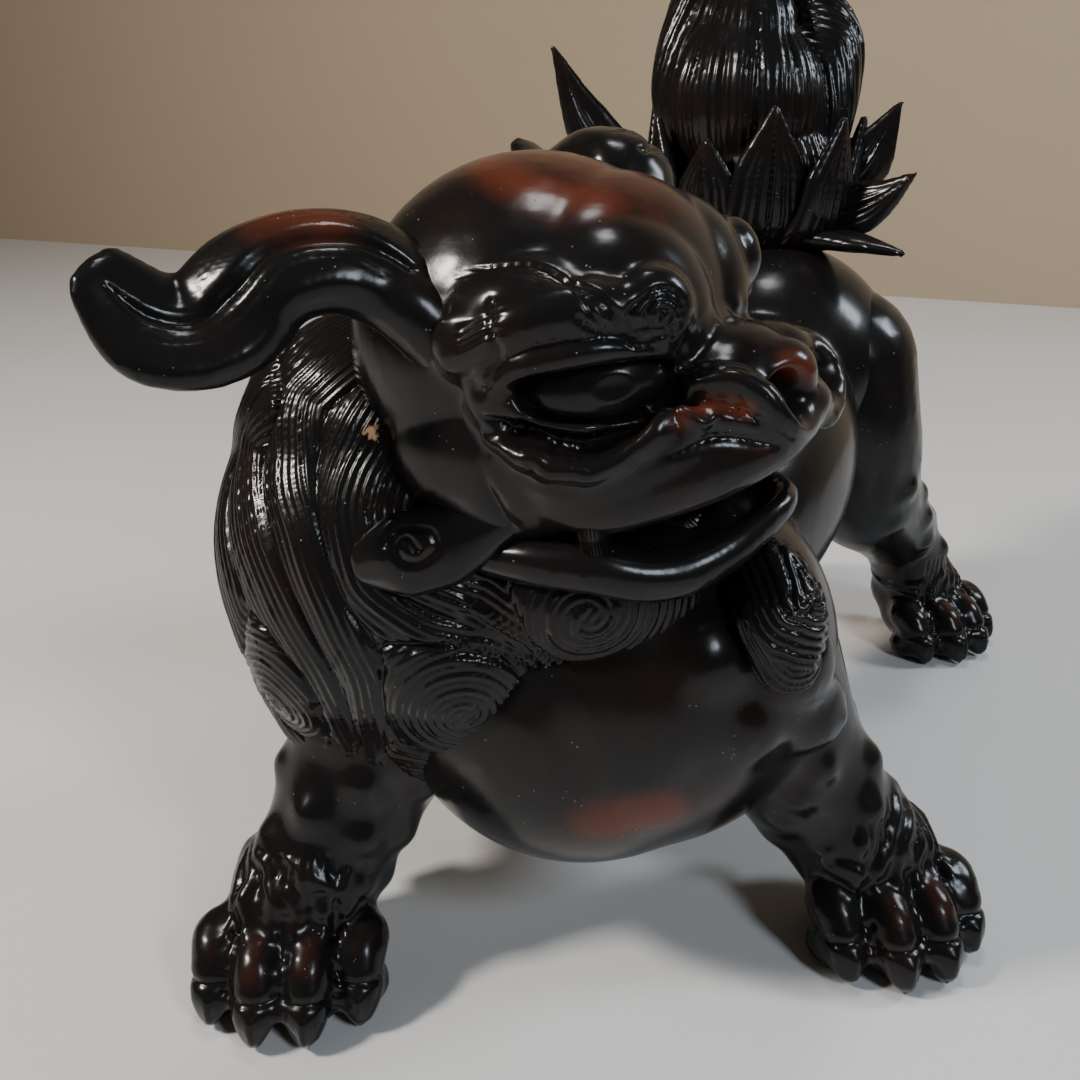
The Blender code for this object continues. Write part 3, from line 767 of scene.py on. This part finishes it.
tongueBase = bmesh.new()
addLimb(
    tongueBase, [(0, 4, -14.6), (0, -6, -14), (0, -13, -12.4), (0, -17.6, -9.6), (0, -18.6, -6.8)],
    [3.4, 3.4, 3.2, 2.6, 1.4], 0.6,
)
for side in (-1, 1):
    addLimb(
        tongueBase, mirrored([(4, 3, -14.4), (4.4, -7, -13.8), (4, -14, -11.4), (2.2, -17.8, -8)], side),
        [2.8, 2.8, 2.2, 1.3], 0.6,
    )
tongue = fuse(meshPiece("tongueSkin", tongueBase, headPlace), 0.7, 3)
clay = Clay(tongue, headPlace)
clay.stroke([(0, 4, -11), (0, -8, -10.6), (0, -14, -9), (0, -17.6, -6.6)], 0.8, -0.9)
clay.settle()
paint(clay, "worn", [])
finishPiece(tongue, ["tongue"], lacquer)
print("jaw", len(jaw.data.polygons) * 2)


# Eyes and fangs: balls and cones, shaped in edit mode

eyeSettings = {"place": (16, -7.8, 7.9), "radii": (5.4, 8.8, 5.4), "turn": 34.6, "gaze": (0.66, -0.75, 0.08)}


def deselectAll():
    for other in bpy.context.selected_objects:
        other.select_set(False)


def placePiece(piece, matrix):
    piece.data.transform(Matrix.Scale(mm, 4) @ matrix)
    piece.location = (0, 0, 0)
    piece.rotation_euler = (0, 0, 0)
    piece.scale = (1, 1, 1)


def makeEye(side):
    deselectAll()
    bpy.ops.mesh.primitive_uv_sphere_add(segments=48, ring_count=32, radius=1)
    eye = bpy.context.active_object
    eye.name = "eyeBallRight" if side < 0 else "eyeBallLeft"
    # rings round the pole make the pupil: a raised ring with a hollow inside it
    bpy.ops.object.mode_set(mode="EDIT")
    bm = bmesh.from_edit_mesh(eye.data)
    for vert in bm.verts:
        reach = math.hypot(vert.co.x, vert.co.y)
        if vert.co.z > 0:
            ring = math.exp(-(((reach - 0.3) / 0.06) ** 2)) * 0.035 - math.exp(-((reach / 0.2) ** 2)) * 0.05
            vert.co.z += ring
    bmesh.update_edit_mesh(eye.data)
    bpy.ops.object.mode_set(mode="OBJECT")
    stretch = Matrix.Rotation(
        math.radians(-side * eyeSettings["turn"]), 4, "Z",
    ) @ Matrix.Diagonal((*eyeSettings["radii"], 1))
    gazeX, gazeY, gazeZ = eyeSettings["gaze"]
    aim = (
        stretch.inverted() @ Vector((side * gazeX, gazeY, gazeZ))
    ).to_track_quat("Z", "Y").to_matrix().to_4x4()
    x, y, z = eyeSettings["place"]
    placePiece(eye, headPlace @ Matrix.Translation((side * x, y, z)) @ stretch @ aim)
    smoother = eye.modifiers.new("smoother", "SUBSURF")
    smoother.levels = 1
    smoother.render_levels = 1
    applyAll(eye)
    eye.data.shade_smooth()
    clay = Clay(eye, headPlace)
    paint(clay, "worn", [])
    finishPiece(eye, ["eye_right" if side < 0 else "eye_left"], lacquer)


def makeFang(side):
    deselectAll()
    bpy.ops.mesh.primitive_cone_add(vertices=32, radius1=2.4, radius2=1.4, depth=7)
    fang = bpy.context.active_object
    fang.name = "fangRight" if side < 0 else "fangLeft"
    bpy.ops.object.mode_set(mode="EDIT")
    bpy.ops.mesh.select_all(action="SELECT")
    bpy.ops.mesh.bevel(offset=0.8, segments=4, profile=0.5, affect="EDGES")
    bpy.ops.object.mode_set(mode="OBJECT")
    place = Matrix.Translation((side * 20.6, -6.8, -10)) @ Matrix.Rotation(math.pi, 4, "X")
    placePiece(fang, headPlace @ place)
    fang.data.shade_smooth()
    clay = Clay(fang, headPlace)
    paint(clay, "worn", [])
    finishPiece(fang, ["fang_right" if side < 0 else "fang_left"], lacquer)


for side in (-1, 1):
    makeEye(side)
    makeFang(side)
print("eyes and fangs")


# Ears and jowl scrolls

earSettings = {"voxel": 0.8, "rounds": 6}
# the far ear lies closer to the brow than the near one
earPaths = {
    -1: [
        (-16, 11, 17), (-22, 18, 25), (-29, 25, 25.8), (-35, 29, 21.4), (-39.4, 32.6, 22.6), (-42, 36.6, 30),
    ],
    1: [(16, 3, 20), (19, 0, 25.5), (24, 4, 27.5), (30, 12, 25), (35, 20, 24), (39, 26, 30)],
}
earWidths = [6, 7.4, 8.2, 8.8, 8.6, 4.6]
earDepths = [5, 5.2, 4.8, 4.2, 3.2, 1.8]
scrollPath = [
    (17.6, -3, -5), (20, 1.4, -6.2), (22.4, 5.4, -7.6), (25.6, 10.8, -9.2), (28.2, 16.4, -9.8),
    (29.4, 21.4, -10.8),
]

for side in (-1, 1):
    end = "right" if side < 0 else "left"
    normal = np.array([side * 0.4, -0.5, 1])
    base = bmesh.new()
    addRibbon(base, earPaths[side], earWidths, earDepths, normal)
    addLimb(base, [(side * 19, 9, 14), (side * 21, 12, 19), (side * 22, 17, 23)], [5, 4.6, 4])
    ear = fuse(
        meshPiece("ear" + end.capitalize(), base, headPlace), earSettings["voxel"], earSettings["rounds"],
    )
    tree = skinTree(ear)
    clay = Clay(ear, worldPlace)
    path = smoothPath(earPaths[side], 1.0)
    across = np.cross(np.gradient(path, axis=0), normal)
    across /= np.linalg.norm(across, axis=1)[:, None]
    # the valley between the upper and the lower ridge, and fine hair lines along both
    lines = [(1.6 * side, 1.3, -1.5)] + [
        (side * shift, 0.28, -0.16)
        for shift in (-5.2, -4.3, -3.5, -2.6, -1.8, -1, 3.6, 4.5, 5.3)
    ]
    for shift, width, height in lines:
        line = path + across * shift + normal * 6
        onSkin = layOn(tree, [headPlace @ Vector(p) for p in line[3:-4]])
        clay.stroke(onSkin[::2], width, height, "round", (0.5, 1, 1, 0.8, 0.2))
    clay.settle()
    if side < 0:
        paint(
            clay, "worn",
            [([(-20, -75, 113), (-26, -78, 111)], 5, 0.75), ([(-30, -94, 97), (-38, -97, 97)], 2.2, 0.35)],
        )
        paint(clay, "chip", [([(-9.8, -72.9, 104.6), (-9.4, -73.2, 103.4)], 0.9, 1.0)])
    else:
        paint(clay, "worn", [([tuple(headPlace @ Vector((24, 4, 33)))], 4, 0.5)])
        paint(clay, "chip", [])
    finishPiece(ear, ["ear_" + end], lacquer)
    base = bmesh.new()
    addRibbon(
        base, mirrored(scrollPath, side), [2.2, 2.6, 3.6, 5.4, 5.8, 3.2], [2.6, 2.6, 2.8, 3, 2.8, 1.8],
        (side, -0.3, 0.3), 0.6,
    )
    jowl = fuse(meshPiece("jowlScroll" + end.capitalize(), base, headPlace), 0.55, 4)
    tree = skinTree(jowl)
    clay = Clay(jowl, worldPlace)
    centre = headPlace @ Vector((side * 29.8, 13, -7.4))
    snail = spiral(tree, centre, headWay @ Vector((side, -0.3, 0.3)), 4.6, 2.4, 0.8, -side)
    clay.stroke(snail[::2], 0.6, -0.5)
    clay.place = headPlace
    # a raised rim round the flat of the scroll
    rim = [
        (22, 4, -3), (26, 9, -2.6), (30, 15.6, -3.8), (32, 21, -6.4), (31.4, 25, -11), (30, 22, -16),
        (28.6, 15, -15.4), (25.6, 9, -13.2),
    ]
    clay.stroke(mirrored(rim, side), 0.6, 0.45)
    clay.settle()
    paint(clay, "worn", [])
    paint(clay, "chip", [(mirrored([(29, 25, -12.6), (28.6, 24.4, -14.6)], side), 1.2, 1.0)])
    finishPiece(jowl, ["jowl_curl_" + end], lacquer)
print("ears and scrolls", len(ear.data.polygons) * 2, len(jowl.data.polygons) * 2)


# Body

torsoSettings = {
    "voxel": 1.4, "rounds": 7,
    "knobs": ((19, -15, 57, 8.5), (29, -9, 56, 7.5), (25, -13, 48, 7), (31, -5, 47, 7)),
}

torsoBase = bmesh.new()
addBall(torsoBase, (2, 2, 47), (32, 33.9, 30.1))
addBall(torsoBase, (-3, -2, 43.6), (30, 32, 29))
for x, y, z, size in torsoSettings["knobs"]:
    addBall(torsoBase, (x, y, z), (size, size, size))
addBall(torsoBase, (-1, 46.5, 60), (25, 46.5, 25), (14, 0, 0))
addBall(torsoBase, (-5, 93, 71), (27, 27, 27))
torso = fuse(
    meshPiece("torsoSkin", torsoBase, bodyPlace, ["chest_curl_left"], 0.3), torsoSettings["voxel"],
    torsoSettings["rounds"],
)
clay = Clay(torso, worldPlace)
for side in (-1, 1):
    # flank hair: short locks behind the shoulder and down the spine
    for step in range(7):
        clay.stroke(
            [
                (-3 + side * 1, -6 + step * 8, 84), (-3 + side * 5, 0 + step * 8, 84),
                (-3 + side * 8, 6 + step * 8, 82),
            ],
            1.0, 0.5,
        )
clay.settle()
paint(
    clay, "worn",
    [
        ([(12, -66.4, 36), (19, -64, 37.4)], 5.4, 1.0), ([(8, -66, 32), (24, -60, 38)], 9, 0.4),
        ([(-5, 60, 98)], 9, 0.3),
    ],
)
paint(clay, "chip", [])
finishPiece(
    torso,
    [
        "torso", "neck_peg", "tail_peg", "chest_curl_left", "front_peg_left", "front_peg_right",
        "hind_peg_left", "hind_peg_right",
    ],
    lacquer,
)
print("torso", len(torso.data.polygons) * 2)

beardBase = bmesh.new()
addLimb(beardBase, [(27, -50, 69), (29.6, -52.6, 64), (31, -53.4, 58.6)], [4.6, 6.4, 4.4])
beard = fuse(meshPiece("beardTuft", beardBase, worldPlace), 0.5, 5)
tree = skinTree(beard)
clay = Clay(beard, worldPlace)
ribs = [
    layOn(tree, smoothPath([(24, -60, 72 - drop), (29, -61, 66.4 - drop), (36, -57, 63.6 - drop)], 0.8))
    for drop in (2, 9)
]
clay.comb(ribs, 1.15, 0.55, 0, 0)
clay.settle()
paint(clay, "worn", [])
finishPiece(beard, ["beard_tuft"], lacquer)


# Legs

legSettings = {"voxel": 1.05, "rounds": 5, "bumps": 22}
hindY = 123
paws = {  # middle of the paw, way it points, shoulder
    "frontRight": ((-34, -38), 28, (-27, -16)),
    "frontLeft": ((41, 14), 45, (17, 6)),
    "hindRight": ((-25, hindY - 1), 10, None),
    "hindLeft": ((29, hindY + 1), 60, None),
}
toes = ((-9.6, 7.5), (-3.3, 11.5), (3.3, 11.5), (9.6, 7.5))


def frontLeg(bm, place, shoulder):
    top = Vector((*shoulder, 45))
    foot = Vector((*place, 10))
    knee, shin = top.lerp(foot, 0.45), top.lerp(foot, 0.8)
    addLimb(bm, [top, knee, shin, foot], [17.5, 12.6, 10.4, 10], 0.7, 3)
    return [top, knee, shin, foot], [17.5, 12.6, 10.4, 10]


def hindLeg(bm, place, side):
    x, y = place
    stations = [
        (side * 14 - 5, 95, 73), (side * 18 - 5, 94, 59), (side * 22 - 5, 99, 44),
        (x - side * 6, y - 8, 29.8), (x, y, 11),
    ]
    addLimb(bm, stations, [17, 15.5, 11.5, 9, 8.5], 0.7, 3)
    return stations, [17, 15.5, 11.5, 9, 8.5]


def makeLeg(name, place, turn, shoulder):
    bm = bmesh.new()
    side = -1 if name.endswith("Right") else 1
    bones, girths = frontLeg(bm, place, shoulder) if shoulder else hindLeg(bm, place, side)
    pawFrame = Matrix.Translation((*place, 0)) @ Matrix.Rotation(math.radians(turn), 4, "Z")
    paw = bmesh.new()
    addBall(paw, (0, -2, 8), (11, 10, 8.6))
    addBall(paw, (0, 2, 13), (10.6, 10, 9))
    for x, reach in toes:
        fan = x * 1.12
        addLimb(
            paw, [(x * 0.7, -3, 10), (fan, 2.4 - reach, 10.4), (fan, -0.4 - reach, 9.4)], [4.2, 4.1, 3.7],
            0.6,
        )
        addLimb(
            paw,
            [(fan, -2 - reach, 7), (fan, -3.8 - reach, 4.8), (fan, -5 - reach, 2.6), (fan, -5.6 - reach, 1)],
            [3.8, 3.5, 2.6, 1.1], 0.5,
        )
        addBall(paw, (fan, 0.6 - reach, 3), (3.8, 4.6, 3))
    bmesh.ops.transform(paw, matrix=pawFrame, verts=paw.verts)
    loose = bpy.data.meshes.new("paw")
    paw.to_mesh(loose)
    paw.free()
    bm.from_mesh(loose)
    bpy.data.meshes.remove(loose)
    leg = fuse(meshPiece(name + "Leg", bm, bodyPlace), legSettings["voxel"], legSettings["rounds"])
    clay = Clay(leg, bodyPlace @ pawFrame)
    # soft knobs of curly hair down the leg, then the paw's own detail
    bonePath = smoothPath([tuple(b) for b in bones], 1.0)
    girth = spread(girths, len(bonePath))
    clay.place = bodyPlace
    for step in range(legSettings["bumps"]):
        share = 0.3 + 0.62 * step / legSettings["bumps"]
        spot = int(share * (len(bonePath) - 1))
        angle = step * 2.4 + math.radians(turn)
        way = np.array([math.cos(angle), math.sin(angle), 0.1])
        clay.dab(bonePath[spot] + way * girth[spot], 2.8, 1.3)
    clay.settle()
    clay.place = bodyPlace @ pawFrame
    tree = skinTree(leg)
    for (x, reach), (nextX, nextReach) in zip(toes, toes[1:]):
        gapX = (x + nextX) / 2 * 1.1
        gapY = (reach + nextReach) / 2
        clay.stroke(
            [(gapX * 0.8, -1, 16), (gapX, 1 - gapY, 12), (gapX, -2 - gapY, 8), (gapX, -4 - gapY, 3)], 0.7,
            -1.4, "crease", (0.1, 0.7, 1, 1),
        )
    for x, reach in toes:
        fan = x * 1.12
        # a fold between knuckle and claw, and a ridge down the claw
        clay.cut(
            tree,
            [
                (fan - 4.4, -1 - reach, 6.6), (fan - 2.4, -4.6 - reach, 7.8), (fan, -5.6 - reach, 8.2),
                (fan + 2.4, -4.6 - reach, 7.8), (fan + 4.4, -1 - reach, 6.6),
            ],
            0.5, -0.9, "crease",
        )
        clay.cut(tree, [(fan, -7.2 - reach, 6), (fan, -8 - reach, 2.4)], 0.7, 0.4)
    for row, (y, z, count) in enumerate(((1, 17, 5), (-3.5, 14.6, 6))):
        for step in range(count):
            x = (step - (count - 1) / 2) * (3.6 - row * 0.3)
            clay.cut(
                tree, [(x * 0.9, y + 2, z + 4), (x, y - 2, z + 1), (x * 1.05, y - 5, z - 1.6)], 1.25, 0.9,
                "round", (0.2, 1, 0.8),
            )
    clay.settle()
    # grooves in the hair of the ankle
    for step in range(-5, 6):
        x = step * 1.75
        clay.cut(tree, [(x * 0.9, -5, 24), (x, -7, 20), (x * 1.05, -9, 17)], 0.3, -0.4)
    clay.points[:, 2] = np.maximum(clay.points[:, 2], 0.0)
    clay.settle()
    spots = [
        ([(x * 1.12, 1 - reach, 12.6), (x * 1.12, -2 - reach, 11)], 2.4, 0.55 if abs(x) < 5 else 0.35)
        for x, reach in toes
    ]
    paint(clay, "worn", spots)
    paint(clay, "chip", [])
    part = {"front": "front", "hind": "hind"}["front" if shoulder else "hind"]
    end = "right" if side < 0 else "left"
    finishPiece(leg, [f"{part}_leg_{end}"], lacquer)
    tuft = fuse(meshPiece(name + "Tuft", bmesh.new(), bodyPlace, [f"{part}_tuft_{end}"], 0.2), 0.5, 3)
    tree = skinTree(tuft)
    clay = Clay(tuft, worldPlace)
    low, high = [Vector(corner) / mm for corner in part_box(f"{part}_tuft_{end}")]
    middle = (low + high) / 2
    guides = []
    for step in range(6):
        z = low.z + (high.z - low.z) * (step + 0.5) / 6
        line = [
            (middle.x - 8, middle.y - 12, z + 2), (middle.x - 2, middle.y - 12, z),
            (middle.x + 6, middle.y - 12, z - 3),
        ]
        guides.append(layOn(tree, smoothPath(line, 1.0)))
        back = [
            (middle.x - 8, middle.y + 12, z + 2), (middle.x - 2, middle.y + 12, z),
            (middle.x + 6, middle.y + 12, z - 3),
        ]
        guides.append(layOn(tree, smoothPath(back, 1.0)))
    clay.comb(guides, 1.3, 0.3, 0.0, 0.2)
    clay.settle()
    paint(clay, "worn", [])
    finishPiece(tuft, [f"{part}_tuft_{end}"], lacquer)
    return leg


for name, (place, turn, shoulder) in paws.items():
    leg = makeLeg(name, place, turn, shoulder)
print("legs", len(leg.data.polygons) * 2)


# Tail

tailSettings = {"voxel": 1.1, "rounds": 5, "pitch": 1.6}
root = Vector((-15.1, 61.1, 98))
plumeBase = bmesh.new()
addBall(plumeBase, root + Vector((2, 2, 10)), (18, 15, 17))
addBall(plumeBase, root + Vector((-2, 0, 26)), (17, 13, 18))
addRibbon(
    plumeBase, [root + Vector(p) for p in ((-8, 0, 14), (-13, -1, 28), (-13, 3, 44), (-7, 8, 61))],
    [7, 9, 8, 2.4], [7, 7.5, 6, 2], (0, -1, 0.2),
)
addRibbon(
    plumeBase, [root + Vector(p) for p in ((0, -1, 10), (0, -3, 28), (-1, 0, 44), (-4, 6, 56))],
    [8, 9.5, 9, 3], [8, 8, 6.4, 2.4], (0, -1, 0.2),
)
addRibbon(
    plumeBase, [root + Vector(p) for p in ((8, 2, 10), (12, 6, 24), (12, 10, 38), (6, 12, 50))],
    [7, 8.4, 8, 4], [7, 7.4, 7, 3.6], (0, -1, 0.2),
)
plume = fuse(meshPiece("tailPlume", plumeBase, worldPlace), tailSettings["voxel"], tailSettings["rounds"])
tree = skinTree(plume)
low, high = [Vector(corner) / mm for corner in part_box("tail_plume")]
clay = Clay(plume, worldPlace)
guides = []
for step in range(14):
    angle = step * math.pi / 7
    line = []
    for height in np.linspace(low.z + 2, high.z - 3, 24):
        axis = root + Vector((-1 - (height - 98) * 0.05, 2 + (height - 98) * 0.06, height - 98))
        way = Vector((math.cos(angle), math.sin(angle), 0))
        spot = tree.ray_cast(axis + way * 60, -way)[0]
        if spot:
            line.append(tuple(spot))
    guides.append(layOn(tree, smoothPath(line, 1.0)))
clay.comb(guides, tailSettings["pitch"], 0.5, 0.5, 0.3)
clay.settle()
paint(clay, "worn", [([(-20, 55, 148), (-18, 56, 130)], 5, 0.2)])
finishPiece(plume, ["tail_plume"], lacquer)


def makeLeaf(name, points, widths, depths, normal, nodeNames):
    # a flame: a pointed band with a rib down its middle and hair lines beside it
    base = bmesh.new()
    addRibbon(base, points, widths, depths, normal, 0.7)
    leaf = fuse(meshPiece(name, base, worldPlace), 0.7, 3)
    tree = skinTree(leaf)
    clay = Clay(leaf, worldPlace)
    path = smoothPath(points, 1.0)
    across = np.cross(np.gradient(path, axis=0), normal)
    across /= np.maximum(np.linalg.norm(across, axis=1)[:, None], 0.001)
    for share, depth in ((0, -0.8), (-0.4, -0.4), (0.4, -0.4), (0.7, -0.3), (-0.7, -0.3)):
        for face in (-1, 1):
            reach = spread(widths, len(path))[:, None] * share
            line = path + across * reach + np.array(normal) * face * 8
            clay.stroke(layOn(tree, line[1:-2])[::2], 0.5, depth, "round", (0.6, 1, 1, 0.3))
    clay.settle()
    paint(clay, "worn", [([tuple(points[-1]), tuple(points[-2])], 2.4, 0.35)])
    finishPiece(leaf, nodeNames, lacquer)
    return leaf


# angle, reach, rise, half width, and how far the flat side turns up
flames = (
    (-22, 40, -2, 5, 0.9), (-8, 36, 12, 7, 0.2), (14, 30, 25, 7.5, 0.1), (60, 27, 12, 6, 0.4),
    (100, 27, 20, 6, 0.4), (146, 32, 26, 6.5, 0.2), (194, 43, 36, 7, 0.1), (208, 34, 4, 6, 0.3),
)
for n, (angle, reach, rise, width, flat) in enumerate(flames, 1):
    out = Vector((math.cos(math.radians(angle)), math.sin(math.radians(angle)), 0))
    spine = [
        root + out * reach * a + Vector((0, 0, 2 + rise * b))
        for a, b in ((0.2, 0.05), (0.5, 0.2), (0.8, 0.55), (1, 1))
    ]
    face = Vector((out.y, -out.x, 0)) if -90 < angle < 90 else Vector((-out.y, out.x, 0))
    normal = (face * (1 - flat) + Vector((0, 0, flat))).normalized()
    makeLeaf(
        f"tailLeaf{n}", spine, [5, width, width * 0.8, 0.8], [3.2, 2.8, 2, 0.8], normal, [f"tail_leaf_{n}"],
    )

# broad leaves that hug the foot of the plume like a flower's cup
cup = (
    (-62, 18, 26, 9), (-100, 17, 20, 9), (-24, 20, 24, 9), (-140, 18, 24, 9), (-178, 18, 28, 8),
    (20, 20, 24, 8), (75, 18, 22, 9), (125, 18, 24, 9),
)
for n, (angle, reach, rise, width) in enumerate(cup, 1):
    out = Vector((math.cos(math.radians(angle)), math.sin(math.radians(angle)) * 0.85, 0))
    spine = [
        root + out * reach * a + Vector((0, 0, b))
        for a, b in ((0.5, -3), (0.98, 4), (1.1, rise * 0.6), (1.18, rise))
    ]
    makeLeaf(
        f"tailCup{n}", spine, [6, width, width * 0.85, 1.2], [3, 3.2, 2.6, 1], out,
        [f"tail_curl_{n}"] if n <= 3 else [],
    )
print("tail", len(plume.data.polygons) * 2)


# Floor, lights and camera

stageSettings = {
    "floor": (0.78, 0.77, 0.76), "floorCloud": (0.7, 0.69, 0.68), "wall": (0.47, 0.36, 0.24),
    "wallFar": 0.62,
}
cameraSettings = {"place": (60.7, -176.5, 125), "azimuth": 28, "pitch": 22, "lens": 36}


def makeStage():
    for name, size, place, turn in (
        ("floor", 6, (0, 0, 0), 0), ("wall", 6, (0, stageSettings["wallFar"], 0), 90),
    ):
        deselectAll()
        bpy.ops.mesh.primitive_plane_add(
            size=size, location=place, rotation=(math.radians(turn), 0, math.radians(4)),
        )
        sheet = bpy.context.active_object
        sheet.name = name
        recipe = Recipe(name + "Paint")
        cloud = recipe.noise(9, 3, 0.5)
        first = stageSettings[name]
        second = stageSettings["floorCloud"] if name == "floor" else tuple(c * 0.92 for c in first)
        gloss = 0.3 if name == "floor" else 0.7
        sheet.data.materials.append(
            recipe.finish(Base_Color=recipe.mix(cloud * 0.6, first, second), Roughness=gloss)
        )


def addLight(name, place, aim, size, power, colour=(1, 1, 1)):
    light = bpy.data.lights.new(name, "AREA")
    light.shape = "RECTANGLE"
    light.size, light.size_y = size
    light.energy = power
    light.color = colour
    lamp = bpy.data.objects.new(name, light)
    bpy.context.scene.collection.objects.link(lamp)
    lamp.location = place
    lamp.rotation_mode = "QUATERNION"
    lamp.rotation_quaternion = (Vector(aim) - Vector(place)).to_track_quat("-Z", "Y")


makeStage()
addLight("keyLight", (-0.42, -0.42, 0.55), (0, 0, 0.06), (0.1, 0.1), 5.4, (1, 0.95, 0.88))
addLight("skyLight", (0.55, -0.3, 0.5), (0, 0, 0.06), (0.12, 0.2), 2.2, (0.8, 0.9, 1))
addLight("backLight", (0.5, 0.35, 0.5), (0, 0.05, 0.08), (0.14, 0.24), 2.6, (0.8, 0.9, 1))
addLight("softTop", (-0.1, 0.1, 1.2), (0, 0, 0), (0.2, 0.2), 2.6)

world = bpy.data.worlds.new("studio")
bpy.context.scene.world = world
world.use_nodes = True
world.node_tree.nodes["Background"].inputs[0].default_value = (0.75, 0.7, 0.64, 1)
world.node_tree.nodes["Background"].inputs[1].default_value = 0.07

azimuth, pitch = math.radians(cameraSettings["azimuth"]), math.radians(cameraSettings["pitch"])
camera = bpy.data.objects.new("camera", bpy.data.cameras.new("camera"))
bpy.context.scene.collection.objects.link(camera)
camera.data.sensor_width = 36
camera.data.lens = cameraSettings["lens"]
camera.data.clip_start = 0.005
camera.location = Vector(cameraSettings["place"]) * mm
camera.rotation_euler = (math.pi / 2 - pitch, 0, azimuth)
bpy.context.scene.camera = camera
